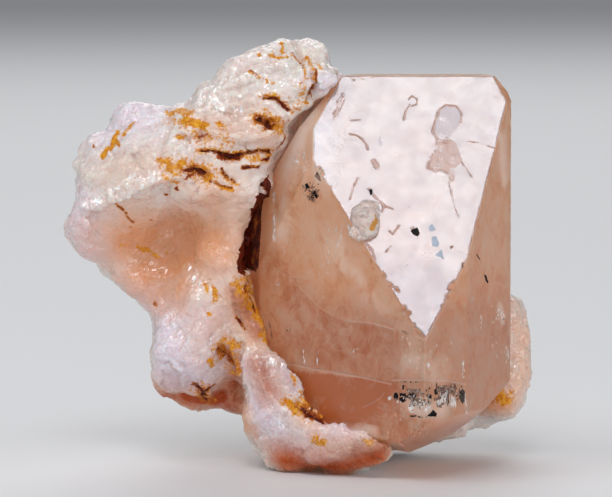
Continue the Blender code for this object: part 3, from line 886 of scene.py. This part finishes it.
# The side that is seen of the seam between the crystal and the albite.
SEAM = ((1.0, 1.0, 264, 198, 257, 235, 250, 272),)
CRACK_HEIGHT = 13.15 * MM
CRACK_LINES = (
    (1, 1, 288, 364, 300, 365.5, 312, 369, 335, 372.5, 362, 377.5, 391, 384),
    (1, 1, 392, 380, 420, 380, 446, 381, 465, 384),
    (0.7, 0.8, 384, 393, 380, 398, 372, 403, 363, 407),
    (0.6, 0.8, 267, 255, 275, 268, 288, 277, 310, 278),
    (0.6, 0.9, 288, 277, 305, 293, 318, 307, 335, 317, 348, 321),
    (0.9, 1, 348, 321, 370, 323, 395, 330),
    (0.7, 0.8, 394, 326, 394, 345, 393, 378),
    (0.5, 0.8, 324, 226, 327, 250, 326, 268),
    (0.4, 0.8, 335, 213, 334, 236),
    (0.5, 0.8, 347, 236, 347, 262),
    (0.6, 0.8, 472, 350, 473, 372, 470, 392),
    (0.7, 0.9, 472, 394, 470, 406, 463, 416),
    (0.5, 0.8, 303, 348, 305, 362),
    (0.5, 0.8, 316, 351, 318, 366),
    (0.4, 0.8, 272, 180, 273, 210, 272, 246),
)
# The redder depth under the cleavage crack, and warm patches inside the crystal above it.
WARM_UNDER_CRACK = (
    (1, 24, 305, 385, 335, 392, 372, 394),
    (0.9, 14, 330, 412, 350, 416, 372, 404),
)
WARM_DEPTHS = (
    (0.45, 9, 283, 284, 295, 294, 310, 308, 325, 318, 345, 328),
    (0.4, 12, 268, 268, 285, 290, 300, 306),
    (0.75, 7, 322, 316, 330, 330, 337, 338),
    (0.7, 6, 362, 327, 376, 329, 392, 334),
    (0.65, 8, 378, 340, 366, 352),
    (0.8, 4, 338, 346, 342, 356),
    (0.7, 4, 350, 338, 356, 350),
    (0.35, 22, 320, 335, 350, 344, 385, 346),
    (0.5, 24, 400, 440, 430, 435, 460, 425),
    (0.35, 30, 290, 340, 330, 352),
    (0.4, 14, 380, 405, 400, 425, 420, 430),
)
# Milky haze just under the faces, and painted light on faces that lie in the albite's shade.
MILKY_HAZE = (
    (0.9, 6, 346, 430, 362, 431, 374, 431),
    (0.5, 8, 372, 441, 384, 443),
    (0.5, 18, 322, 120, 316, 150, 318, 176),
    (0.4, 14, 330, 245, 345, 262),
    (0.6, 8, 298, 155, 306, 170),
    (1, 20, 312, 108, 300, 135, 290, 165),
    (0.5, 14, 285, 190, 283, 230),
    (0.6, 5, 340, 240, 342, 268),
    (0.45, 8, 350, 266, 364, 284),
    (0.4, 11, 365, 295, 382, 307),
    (0.8, 6, 500, 308, 503, 320),
    (0.5, 3, 273, 186, 274, 212, 273, 240),
    (0.6, 10, 501, 140, 504, 180),
    (0.6, 10, 445, 398, 440, 412, 405, 405),
    (0.5, 16, 410, 360, 440, 372),
)
# The dark crust on the crystal at its seam with the albite, below the crevice.
SEAM_CRUST = (
    (0.5, 2, 269, 322, 271, 330, 272, 338),
)

BODY_COLOURS = ((0.95, 0.50, 0.25), (0.98, 0.67, 0.43))
VEIL = (1.0, 0.82, 0.66)
SHADE = (0.80, 0.34, 0.15)
HAIR = (1.0, 0.90, 0.80)
SPECK = (1.0, 0.95, 0.92)
RED_DEPTH = (0.74, 0.24, 0.065)
HAZE = (0.97, 0.84, 0.76)
CRACK_LIGHT = (1.0, 0.86, 0.74)
DOME_SKINS = ((0.56, 0.62, 0.78), (0.76, 0.80, 0.92))
PIT_TINT = (0.68, 0.46, 0.40)
FROST_TINT = (0.58, 0.61, 0.78)
CRUST_BLACKS = ((0.012, 0.002, 0.002), (0.12, 0.012, 0.002))
CRUST_BROWN = (0.50, 0.18, 0.02)
ABSORPTION = (0.95, 0.62, 0.36)
ABSORPTION_DENSITY = 20.0
TOPAZ_IOR = 1.62


def refined(bm, limits):
    """Splits edges until each is shorter than the limit where it lies."""
    for _ in range(REFINE_ROUNDS):
        edges = bm.edges[:]
        ends = np.array([[*e.verts[0].co, *e.verts[1].co] for e in edges])
        length = np.linalg.norm(ends[:, :3] - ends[:, 3:], axis=1)
        facing = np.array([e.link_faces[0].normal[:] for e in edges])
        longer = length > limits((ends[:, :3] + ends[:, 3:]) / 2, facing)
        if not longer.any():
            break
        chosen = [edge for edge, split in zip(edges, longer) if split]
        bmesh.ops.subdivide_edges(bm, edges=chosen, cuts=1)
        bmesh.ops.triangulate(bm, faces=[f for f in bm.faces if len(f.verts) > 3])


def crystal_mesh(crystal, planes, reach):
    """The crystal's CAD mesh, fine on its big face, along the edges in view and under every thin mark."""
    tree = tree_of(crystal)
    marked = around(tree, DOME_PITS + CRACK_LINES + SEAM_CRUST, MARK_REACH)
    seam = around(tree, SEAM, SEAM_REACH)
    bm = bmesh.new()
    bm.from_mesh(crystal.data)
    bmesh.ops.remove_doubles(bm, verts=bm.verts, dist=1e-6)
    bmesh.ops.dissolve_limit(bm, angle_limit=math.radians(0.5), verts=bm.verts, edges=bm.edges)
    bmesh.ops.triangulate(bm, faces=bm.faces)

    def limits(middle, facing):
        depths = np.sort(reach - middle @ planes.T, axis=1)
        to_edge = depths[:, 0] + depths[:, 1]
        on_dome = facing @ np.array(DOME_DIRECTION) > ON_DOME
        in_view = facing @ np.array(-SIGHT) > EDGE_ON
        spread = np.clip(EDGE_GRID + GRID_GROWTH * to_edge, EDGE_GRID, FACE_GRID)
        spread = np.where(in_view, spread, np.clip(REAR_COARSER * spread, 0.0, REAR_GRID))
        spread = np.where(on_dome, np.minimum(spread, DOME_GRID), spread)
        return np.where(marked(middle) & in_view, MARK_GRID, np.where(seam(middle), EDGE_GRID, spread))

    refined(bm, limits)
    bm.to_mesh(crystal.data)
    bm.free()


def distinct_planes():
    planes, reach = crystal_planes()
    kept = []
    for index, plane in enumerate(planes):
        if all(plane @ planes[other] < 0.9999 for other in kept):
            kept.append(index)
    return planes[kept], reach[kept]


def make_crystal():
    crystal = copy_of("topaz_crystal", "topaz_crystal_fine")
    planes, reach = distinct_planes()
    crystal_mesh(crystal, planes, reach)
    mesh = crystal.data
    surface = Surface(crystal)
    co = surface.co
    depths = reach - co @ planes.T
    order = np.argsort(depths, axis=1)
    rows = np.arange(len(co))
    first, second = order[:, 0], order[:, 1]
    to_edge = depths[rows, first] + depths[rows, second]
    facing = planes[first] @ np.array(-SIGHT)
    on_dome = (planes[first] @ np.array(DOME_DIRECTION) > ON_DOME).astype(float)

    # Worn and chipped edges: places near one move back along the mean of the two faces that meet there.
    wear = WEAR + np.maximum(0.0, noise_at(co, NICKS)) + noise_at(co, FINE_WEAR)
    chipped = step_up(surface.painted(EDGE_CHIPS), 0.1, 0.6)
    wear += CHIP_DEPTH * chipped * (CHIP_BITE + noise_at(co, *CHIP_TEETH))
    wear = np.maximum(wear, LEAST_WEAR) * MM
    joint = planes[first] + planes[second]
    size = np.linalg.norm(joint, axis=1)
    bite = np.maximum(wear - to_edge, 0.0) / size
    moved = co - joint / size[:, None] * bite[:, None]

    # Pits, growth lines on the upright faces, and cracks.
    broad = OUTLINED_STRENGTH * surface.inside(BROAD_PIT, 1.6)
    pits = np.maximum(surface.painted(DOME_PITS, PIT_FADE), broad) * on_dome
    floor = noise_at(co, *PIT_FLOOR)
    streak = noise_at(co * np.array(GROWTH_WAVES), (1.0, 1.0))
    cracks = surface.painted(CRACK_LINES, CRACK_FADE)
    upright = (np.abs(planes[first][:, 2]) < 0.05) * step_up(to_edge, 0.1 * MM, 0.6 * MM)
    sink = on_dome * step_up(pits + PIT_EDGE * floor, 0.3, 0.6) * (PIT_DEPTH + PIT_UNEVEN * floor) * MM
    sink += upright * (GROWTH_DEPTH + GROWTH_DEPTH * streak) * MM
    sink += CRACK_DEPTH * step_up(cracks, 0.1, 0.6) * MM
    put_places(mesh, moved - planes[first] * sink[:, None])

    oval = OUTLINED_STRENGTH * surface.inside(OVAL_FROST, 1.0)
    under = step_up(-co[:, 2], -CRACK_HEIGHT, -CRACK_HEIGHT + 0.2 * MM)
    redder = 1.3 * surface.painted(WARM_UNDER_CRACK) * under
    # Painted shade: the crevice's shade on the crystal is painted dark along with the seam's crust.
    crevice = CRYSTAL_CREVICE * (surface.inside(CREVICE, 0.6) & (facing > -0.2))
    write_fields(
        mesh,
        dome=on_dome * (bite < 0.02 * MM),
        pit=pits,
        frost=np.maximum(surface.painted(DOME_FROST), oval) * on_dome,
        rear=step_up(-facing, -0.12, 0.05),
        warm=np.maximum(surface.painted(WARM_DEPTHS), redder),
        crust=np.maximum(surface.painted(SEAM_CRUST) * (1.0 - on_dome), crevice),
        crack=cracks,
        haze=surface.painted(MILKY_HAZE),
    )
    cover(mesh, topaz_material())
    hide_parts("topaz_crystal")
    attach(crystal, "root")
    return crystal


def topaz_material():
    n = Nodes("topaz")
    mottle = n.noise(420.0, 4.0, 0.6)
    fine = n.noise(1700.0, 4.0, 0.65)
    tall = n.noise((700.0, 700.0, 90.0), 3.0, 0.6)
    hair = n.noise((2100.0, 2100.0, 260.0), 4.0, 0.7)
    growth = n.noise((260.0, 700.0, 700.0), 5.0, 0.7)
    cloud = n.noise(110.0, 5.0, 0.65)
    wisps = n.noise((360.0, 360.0, 300.0), 7.0, 0.78, 0.5)
    dome, rear = n.field("dome"), n.field("rear")

    # The body, with veils, shades, hairs, specks, redder depths, and haze with painted light.
    body = n.mix(n.ramp(cloud, 0.38, 0.62), *BODY_COLOURS)
    veiled = n.mix(n.ramp(wisps, 0.46, 0.66, 0.0, 0.55), body, VEIL)
    shaded = n.mix(n.ramp(wisps, 0.46, 0.30, 0.0, 0.35), veiled, SHADE)
    hairs = n.times(n.ramp(hair, 0.58, 0.70), n.ramp(cloud, 0.50, 0.62))
    haired = n.mix(n.times(hairs, 0.55), shaded, HAIR)
    specks = n.times(n.ramp(n.cells(1300.0), 0.10, 0.20, 1.0, 0.0), n.ramp(wisps, 0.50, 0.60))
    specked = n.mix(specks, haired, SPECK)
    warm = n.mix(n.broken("warm", n.ramp(wisps, 0.62, 0.38), 0.8, 0.5, 1.25), specked, RED_DEPTH)
    # Partly painted light: besides real milky haze, this brightens faces that lie in the albite's shade.
    haze = n.broken("haze", wisps, 0.8, 0.6, 1.3)
    hazy = n.mix(n.times(haze, 0.9), warm, HAZE)

    # The surface: cracks, the big face's painted reflection, its pits and frosted spots, and the crust
    # along the seam with the crevice's painted shade.
    edged = n.mix(n.ramp(n.field("crack"), 0.25, 0.75, 0.0, 0.75), hazy, CRACK_LIGHT)
    # Painted reflection: the big face's base colour is a bluish white that stands in for the lamp it
    # mirrors.
    skinned = n.mix(n.times(dome, 0.8), edged, n.mix(n.ramp(mottle, 0.4, 0.6), *DOME_SKINS))
    bitten = n.plus(n.times(fine, 0.5), n.times(n.noise(760.0, 5.0, 0.7), 0.9))
    pit = n.times(n.ramp(n.plus(n.field("pit"), bitten), 1.0, 1.2), n.ramp(n.field("pit"), 0.03, 0.2))
    pitted = n.mix(pit, skinned, PIT_TINT)
    frost = n.times(n.broken("frost", bitten, 0.8, 0.8, 1.1), n.ramp(n.field("frost"), 0.02, 0.15))
    frosted = n.mix(n.times(frost, 0.85), pitted, FROST_TINT)
    ragged = n.plus(n.times(n.noise(900.0, 6.0, 0.75), 0.7), n.times(fine, 0.5))
    # The seam's crust and the crevice's painted shade.
    crust = n.times(n.broken("crust", ragged, 0.9, 0.85, 1.15), n.ramp(n.field("crust"), 0.02, 0.15))
    blotch = n.noise(620.0, 5.0, 0.7)
    black = n.mix(n.ramp(blotch, 0.46, 0.56), *CRUST_BLACKS)
    colour = n.mix(crust, frosted, n.mix(n.ramp(blotch, 0.57, 0.64), black, CRUST_BROWN))

    # The big face is smoother than the sides, and the hidden ones are matt.
    side = n.ramp(wisps, 0.35, 0.65, 0.29, 0.38)
    smooth = n.ramp(n.noise(500.0, 2.0, 0.5), 0.32, 0.68, 0.12, 0.25)
    rough = n.plus(side, n.times(dome, n.minus(smooth, side)))
    for part, roughness in ((rear, 0.9), (n.most(pit, frost), 0.45), (crust, 0.8)):
        rough = n.most(rough, n.times(part, roughness))
    sheen = n.ramp(n.plus(growth, n.times(fine, 0.25)), 0.46, 0.78, 0.46, 0.74)
    gloss = n.plus(n.plus(n.times(dome, sheen), n.times(rear, 0.4)), 0.25, clamp=True)
    lines = n.bump(tall, 0.06, 0.25 * MM)
    grain = n.times(fine, n.plus(n.times(pit, 2.0), 0.35))
    n.set(Base_Color=colour, Roughness=rough, IOR=TOPAZ_IOR, Normal=n.bump(grain, 0.15, 0.1 * MM, lines))
    n.set(Transmission_Weight=n.minus(0.7, n.times(haze, 0.45)))
    n.set(Coat_Weight=n.times(gloss, n.minus(1.0, crust)), Coat_Roughness=0.08)
    absorb = n.add("ShaderNodeVolumeAbsorption")
    n.plug(n.fill(absorb, Color=ABSORPTION, Density=ABSORPTION_DENSITY), n.out.inputs["Volume"])
    return n.material


# What the crystal holds

# Groups of flakes at and under the faces: kind, x and y of the middle, half width and half height, number
# of flakes, their least and greatest size (all in pixels), and their least and greatest depth in
# hundredths of a mm.
FLAKES = (
    ("black", 314, 195, 3.4, 5, 22, 0.8, 2.4, -1, 3),
    ("smoke", 312, 193, 8, 9, 40, 0.8, 2.8, -1, 3),
    ("black", 311, 190, 8, 8, 34, 0.3, 1.2, -1, 5),
    ("black", 306, 186, 4, 3, 12, 0.5, 1.6, -1, 3),
    ("black", 318, 174, 3, 6, 16, 0.5, 2, 2, 19),
    ("brown", 295, 184, 5, 2, 12, 0.4, 1.2, 2, 10),
    ("white", 301, 163, 8, 10, 46, 0.3, 1.2, -1, 5),
    ("white", 297, 158, 3, 5, 8, 0.9, 2.2, 0, 5),
    ("white", 273.5, 212, 1.2, 28, 44, 0.3, 0.8, -1, 5),
    ("white", 329, 240, 7, 28, 30, 0.2, 0.6, -1, 5),
    ("white", 340, 258, 16, 20, 70, 0.2, 0.8, -1, 8),
    ("white", 278, 283, 3, 3, 8, 0.4, 1.2, -1, 2),
    ("black", 289, 331, 1.6, 1.8, 8, 0.5, 1.6, 0, 6),
    ("white", 304, 356, 1, 7, 14, 0.4, 1, -1, 3),
    ("white", 317.5, 358, 0.9, 7, 14, 0.4, 0.9, -1, 3),
    ("white", 370, 345, 24, 14, 50, 0.2, 0.8, -1, 6),
    ("white", 354, 350, 4, 3, 12, 0.5, 1.5, -1, 3),
    ("black", 405, 333, 3, 1.6, 7, 0.4, 1.4, -1, 2),
    ("white", 402, 338, 5, 2, 12, 0.3, 1, -1, 2),
    ("white", 428, 362, 12, 8, 26, 0.3, 1.1, -1, 4),
    ("black", 486, 279, 1.2, 3.6, 5, 0.6, 1.2, 0, 2),
    ("white", 500, 314, 5, 5, 40, 0.6, 1.9, -1, 5),
    ("black", 503, 320, 1, 1, 4, 0.6, 1.3, -1, 2),
    ("white", 473, 299, 2, 2, 8, 0.5, 1.4, -1, 3),
    ("white", 481, 324, 1, 9, 14, 0.3, 0.9, -1, 3),
    ("white", 507, 353, 1, 10, 14, 0.3, 1, -1, 3),
    ("white", 463, 368, 0.9, 12, 18, 0.3, 0.9, -1, 3),
    ("white", 466, 404, 1.6, 12, 22, 0.3, 1, -1, 3),
    ("white", 500, 155, 6, 18, 30, 0.2, 0.7, -1, 4),
    ("white", 482, 220, 3, 3, 8, 0.4, 1.4, -1, 3),
    ("white", 480, 300, 20, 40, 40, 0.2, 0.6, -1, 5),
    ("white", 401, 398, 6, 4, 9, 0.4, 1.6, -4, -2),
    ("silver", 419, 399, 11, 9, 46, 0.6, 2.6, -3, 2),
    ("brown", 419, 397, 13, 9, 40, 0.5, 2.4, -3, 2),
    ("umber", 418, 396, 13, 8, 30, 0.4, 1.8, -4, 2),
    ("black", 418, 398, 13, 6, 14, 0.4, 1.6, -4, 2),
    ("white", 420, 405, 10, 8, 54, 0.5, 2.2, -4, 0),
    ("brown", 448, 396, 14, 11, 40, 0.5, 2, -3, 2),
    ("silver", 447, 396, 12, 10, 26, 0.6, 2.2, -3, 2),
    ("black", 462, 395, 2.4, 7, 12, 0.5, 1.6, -3, 2),
    ("black", 410, 382, 16, 0.7, 22, 0.3, 1.2, -1, 2),
    ("white", 401, 419, 1.2, 1.2, 5, 0.6, 1.2, -1, 2),
    ("white", 399, 412, 5, 5, 14, 0.3, 1.1, -1, 3),
    ("white", 418, 430, 11, 6, 46, 0.3, 1.2, -1, 5),
    ("brown", 418, 430, 11, 6, 30, 0.3, 1, -1, 5),
    ("white", 394, 440, 8, 8, 22, 0.3, 0.9, -1, 5),
    ("black", 409.5, 207, 0.5, 0.5, 3, 0.6, 0.9, -2, 2),
    ("black", 416, 236, 1.4, 3, 10, 0.3, 0.7, -2, 2),
    ("black", 378, 256, 1.2, 9, 10, 0.3, 0.6, -2, 2),
)
# Flakes drawn out upwards, in the same order of values.
UPRIGHT_FLAKES = (
    ("brown", 442, 393, 7, 8, 34, 1.2, 4, -3, 1),
    ("umber", 441, 392, 6, 6, 20, 1, 3.4, -4, 1),
    ("black", 441, 390, 5, 5, 8, 0.8, 2.6, -4, 1),
    ("white", 444, 398, 4, 6, 22, 1.2, 4.2, -5, -1),
    ("brown", 455, 393, 5, 8, 26, 1.2, 3.6, -3, 1),
    ("white", 453, 402, 3, 6, 18, 1.2, 4, -5, -1),
    ("umber", 449, 389, 4, 5, 12, 1, 3, -4, 1),
    ("white", 466, 404, 1.4, 10, 9, 1.2, 3.4, -3, 0),
    ("white", 463, 366, 1, 10, 10, 1, 3, -3, 0),
    ("white", 507, 354, 1.4, 8, 8, 1, 3.2, -3, 0),
    ("white", 481, 322, 0.8, 7, 6, 1, 2.8, -3, 0),
    ("white", 304, 356, 0.8, 6, 7, 1.2, 3.4, -3, 0),
    ("white", 317.5, 359, 0.6, 5, 6, 1.2, 3.4, -3, 0),
    ("white", 339, 236, 4, 10, 12, 1.2, 4.6, -2, 0),
    ("white", 327, 246, 2, 18, 8, 1.2, 4.6, -2, 0),
    ("white", 300, 158, 5, 7, 12, 1.2, 3.8, -2, 0),
    ("white", 274, 214, 1.2, 26, 12, 1.4, 5, -2, 0),
    ("white", 497, 330, 9, 30, 14, 0.8, 2.6, -2, 0),
    ("white", 430, 355, 26, 14, 14, 0.8, 2.6, -2, 0),
)
# Larger angular pieces at the faces, each a kind and an outline.
SHARDS = (
    ("smoke", 438, 386, 447, 385, 448, 394, 440, 397),
    ("smoke", 436, 398, 441, 396, 442, 408, 437, 407),
    ("smoke", 447, 386, 456, 387, 455, 395, 449, 394),
    ("smoke", 410, 389, 421, 389, 418, 395, 411, 394),
    ("smoke", 413, 400, 419, 397, 425, 402, 418, 406),
    ("white", 416, 403, 422, 401, 424, 404, 418, 407),
    ("white", 408, 408, 413, 404, 414, 408, 410, 412),
    ("white", 424, 409, 431, 405, 430, 410, 425, 412),
    ("white", 436, 402, 439, 398, 440, 404, 437, 408),
    ("black", 446, 396, 448, 393, 449.4, 402, 447.4, 406),
    ("black", 434, 390, 437, 388, 438, 394, 435, 395),
    ("black", 428, 396, 431, 394, 431.6, 399, 429, 400),
    ("black", 394, 393, 397, 392.4, 398.6, 396, 397.4, 400.4, 394.6, 399.6, 393.6, 397),
    ("black", 398.8, 393, 406, 393.4, 405.6, 396, 400, 396.4),
    ("black", 399, 397.6, 403.4, 397.2, 407, 399.6, 403.6, 402.4, 400, 402.6),
    ("umber", 404, 395.6, 408.4, 394.4, 408, 398.2, 404.6, 398),
    ("black", 402.4, 385, 404.2, 385.4, 404, 389.6, 402, 389.4),
    ("black", 409, 393.6, 413, 392, 416.4, 396, 413.6, 398, 410, 396.8),
    ("black", 427.6, 415.4, 433.4, 409.6, 437, 413.6, 436, 416.6, 429, 416.6),
    ("black", 410, 415.4, 416.4, 415, 416, 416.8, 410.4, 417),
    ("black", 418, 416.2, 427, 416, 426.6, 417.4, 418.4, 417.6),
    ("umber", 459.6, 391, 462.6, 388.4, 465, 392, 465.2, 399, 463, 404, 460.4, 401, 459, 396),
    ("black", 440, 388, 446, 386.6, 448.4, 391, 443, 393.6),
    ("black", 423, 401, 427, 402, 426, 405, 422.4, 404),
    ("black", 313.4, 190, 315.4, 190.6, 318.2, 196.4, 316.6, 199, 314.6, 196),
    ("black", 304.6, 184, 307.4, 183, 309.6, 187.6, 306.4, 189.4),
    ("smoke", 314.6, 176, 317, 171.4, 320.4, 176.4, 321, 181.6, 317.6, 179.4),
    ("black", 412.6, 229, 417.6, 227.4, 419.8, 233, 417.4, 236.2, 413.2, 234.4, 410.6, 231.4),
    ("black", 368.6, 190, 371.6, 188.6, 373, 192.4, 370.8, 195.6),
    ("black", 483.8, 274.4, 485.8, 274.8, 488.4, 281.6, 487.2, 283.6, 485, 279.4),
    ("black", 475.8, 253.6, 477, 254, 480.2, 260.2, 478.8, 259.4),
    ("brown", 461.4, 263, 463.6, 262, 463.4, 268.4, 461.2, 267),
    ("brown", 449.6, 246, 453.2, 245.4, 453.4, 248.2, 450.2, 248.6),
    ("blue", 428.4, 227.4, 432.2, 223.6, 436, 229.6, 430.2, 231.2),
    ("blue", 431.4, 237, 436.4, 236.2, 439.2, 243.4, 438, 246.8, 432.4, 246),
    ("blue", 435.4, 255, 441.4, 249, 444, 259.6, 441, 257.6),
    ("white", 440.4, 394, 443.6, 391, 446.6, 396, 445.4, 402.6, 441.8, 401.6),
    ("white", 450.4, 397, 453.2, 395.6, 455.6, 401.6, 453.4, 407.6, 450.8, 404.4),
    ("white", 387.4, 398, 390, 395.8, 391.8, 398.4, 389.4, 400.8),
    ("white", 427, 363.6, 429.4, 362.6, 430, 366, 427.8, 367.4),
)
# Each kind's colour, roughness, metallic share and specular level.
FLAKE_KINDS = {
    "black": ((0.006, 0.004, 0.005), 0.5, 0.0, 0.15),
    "brown": ((0.20, 0.09, 0.055), 0.4, 0.0, 0.5),
    "smoke": ((0.30, 0.17, 0.12), 0.4, 0.0, 0.5),
    "umber": ((0.055, 0.032, 0.020), 0.4, 0.0, 0.5),
    "white": ((0.90, 0.80, 0.75), 0.3, 0.0, 0.5),
    "silver": ((0.56, 0.46, 0.42), 0.22, 0.5, 0.5),
    "blue": ((0.39, 0.45, 0.55), 0.3, 0.0, 0.5),
}
FLAKE_THICKNESS = 0.02 * MM
FLAKE_TIP = 0.7
FLAKE_INSET = 0.01 * MM
# How a flake's long way lies, and how narrow it is across it, lying anyhow or upright.
LEANS = {False: (0.0, 6.3), True: (1.3, 1.8)}
WIDTHS = {False: (0.2, 0.9), True: (0.12, 0.32)}
# How far a shard's outline wavers, in pixels, where each side is cut, and its two faces' depths.
SHARD_WAVER = 0.25
SHARD_CUTS = (0.0, 0.33, 0.67)
SHARD_DEPTHS = (-0.02 * MM, 0.06 * MM)


def add_plate(bm, front, back):
    """A closed plate between two rings of places."""
    front, back = ([bm.verts.new(place) for place in ring] for ring in (front, back))
    bm.faces.new(front)
    bm.faces.new(back[::-1])
    for corner in range(len(front)):
        after = (corner + 1) % len(front)
        bm.faces.new((front[after], front[corner], back[corner], back[after]))


def add_flake(bm, middle, size, upright, rng):
    """A thin angular flake roughly facing the viewer, lying any way or drawn out upwards."""
    lean = rng.uniform(*LEANS[upright])
    tip, roll = (rng.uniform(-FLAKE_TIP, FLAKE_TIP) for _ in range(2))
    turn = Euler((tip, lean, roll)).to_matrix()
    corners = rng.randint(4, 6)
    narrow = rng.uniform(*WIDTHS[upright])
    rings = []
    for side in (-FLAKE_THICKNESS, FLAKE_THICKNESS):
        ring = []
        for corner in range(corners):
            angle = 2.0 * math.pi * (corner + 0.3 * rng.random()) / corners
            out = size * rng.uniform(0.65, 1.0)
            place = Vector((math.cos(angle) * out, side, math.sin(angle) * out * narrow))
            ring.append(middle + turn @ place)
        rings.append(ring)
    add_plate(bm, *rings)


def add_shard(bm, tree, outline, rng):
    """A thin piece at the surface with a slightly uneven outline."""
    spots = []
    corners = pairs(outline)
    for (u0, v0), (u1, v1) in zip(corners, corners[1:] + corners[:1]):
        for share in SHARD_CUTS:
            u = u0 + (u1 - u0) * share + rng.uniform(-SHARD_WAVER, SHARD_WAVER)
            v = v0 + (v1 - v0) * share + rng.uniform(-SHARD_WAVER, SHARD_WAVER)
            spots.append(spot_on(tree, u, v))
    if None not in spots:
        add_plate(bm, *([spot + SIGHT * depth for spot in spots] for depth in SHARD_DEPTHS))


def flake_material(name, colour, rough, metal, specular):
    n = Nodes(name)
    patchy = n.ramp(n.noise(1600.0, 3.0, 0.6), 0.3, 0.7)
    n.set(Base_Color=n.mix(patchy, colour, tuple(0.6 * c for c in colour)), Metallic=metal)
    n.set(Roughness=n.ramp(n.noise(2400.0), 0.3, 0.7, 0.7 * rough, 1.4 * rough))
    n.set(Specular_IOR_Level=specular)
    return n.material


def make_flakes(crystal):
    """Dark, pale and silvery flakes close under the crystal's faces, one object for each kind."""
    tree = tree_of(crystal)
    rng = random.Random(NOISE_SEED)
    meshes = {kind: bmesh.new() for kind in FLAKE_KINDS}
    for upright, groups in ((False, FLAKES), (True, UPRIGHT_FLAKES)):
        for kind, u, v, across, up, count, least, greatest, nearest, deepest in groups:
            for _ in range(count):
                spot = spot_on(tree, u + across * rng.uniform(-1.0, 1.0), v + up * rng.uniform(-1.0, 1.0))
                size = rng.uniform(least, greatest) * PIXEL
                depth = rng.uniform(nearest, deepest) * 0.01 * MM
                if spot is not None:
                    add_flake(meshes[kind], spot + SIGHT * depth, size, upright, rng)
    for kind, *outline in SHARDS:
        add_shard(meshes[kind], tree, outline, rng)
    for kind, bm in meshes.items():
        for vert in bm.verts:
            vert.co.y = max(vert.co.y, CAD_BOX[0][1] + FLAKE_INSET)
        name = "inclusions_" + kind
        mesh = bpy.data.meshes.new(name)
        bmesh.ops.recalc_face_normals(bm, faces=bm.faces)
        bm.to_mesh(mesh)
        bm.free()
        mesh.materials.append(flake_material(name, *FLAKE_KINDS[kind]))
        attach(new_object(name, mesh), "root")


# The room

FLOOR_SIZE = 3.0
FLOOR_COLOUR = (0.80, 0.80, 0.81)
FLOOR_ROUGHNESS = 0.6
ROOM_COLOUR = (0.86, 0.88, 0.92, 1.0)
ROOM_LIGHT = 0.26
WHITE_LIGHT = (1.0, 1.0, 1.0)
# Soft square lights: azimuth and elevation in degrees, distance and side in metres, brightness, colour.
LIGHTS = {
    "key": (0.0, 50.0, 0.8, 0.26, 5.9, (0.91, 0.945, 1.0)),
    "top_left": (-45.0, 55.0, 0.8, 0.5, 2.0, WHITE_LIGHT),
    "left_fill": (-80.0, 25.0, 0.8, 0.5, 0.8, WHITE_LIGHT),
    "front_fill": (0.0, 12.0, 0.9, 0.6, 1.25, WHITE_LIGHT),
    "right_fill": (60.0, 12.0, 0.8, 0.5, 2.3, WHITE_LIGHT),
    "behind": (180.0, 38.0, 0.8, 0.6, 1.7, WHITE_LIGHT),
}


def make_room():
    mesh = bpy.data.meshes.new("floor")
    bm = bmesh.new()
    bmesh.ops.create_grid(bm, x_segments=2, y_segments=2, size=FLOOR_SIZE)
    bm.to_mesh(mesh)
    bm.free()
    floor = new_object("floor", mesh)
    n = Nodes("floor")
    n.set(Base_Color=FLOOR_COLOUR, Roughness=FLOOR_ROUGHNESS)
    mesh.materials.append(n.material)
    world = bpy.data.worlds.new("studio")
    world.use_nodes = True
    back = world.node_tree.nodes["Background"]
    back.inputs["Color"].default_value = ROOM_COLOUR
    back.inputs["Strength"].default_value = ROOM_LIGHT
    bpy.context.scene.world = world


def make_lights():
    for name, (azimuth, elevation, distance, side, brightness, colour) in LIGHTS.items():
        light = bpy.data.lights.new(name, "AREA")
        light.shape = "SQUARE"
        light.size = side
        light.energy = brightness * math.pi * side * side
        light.color = colour
        a, e = math.radians(azimuth), math.radians(elevation)
        back = Vector((math.sin(a) * math.cos(e), -math.cos(a) * math.cos(e), math.sin(e)))
        aimed(new_object(name, light), AIM + back * distance, -back)
    bpy.context.scene.view_settings.view_transform = "Standard"


noise.seed_set(NOISE_SEED)
make_camera()
make_room()
make_lights()
make_rock()
make_grain()
make_flakes(make_crystal())
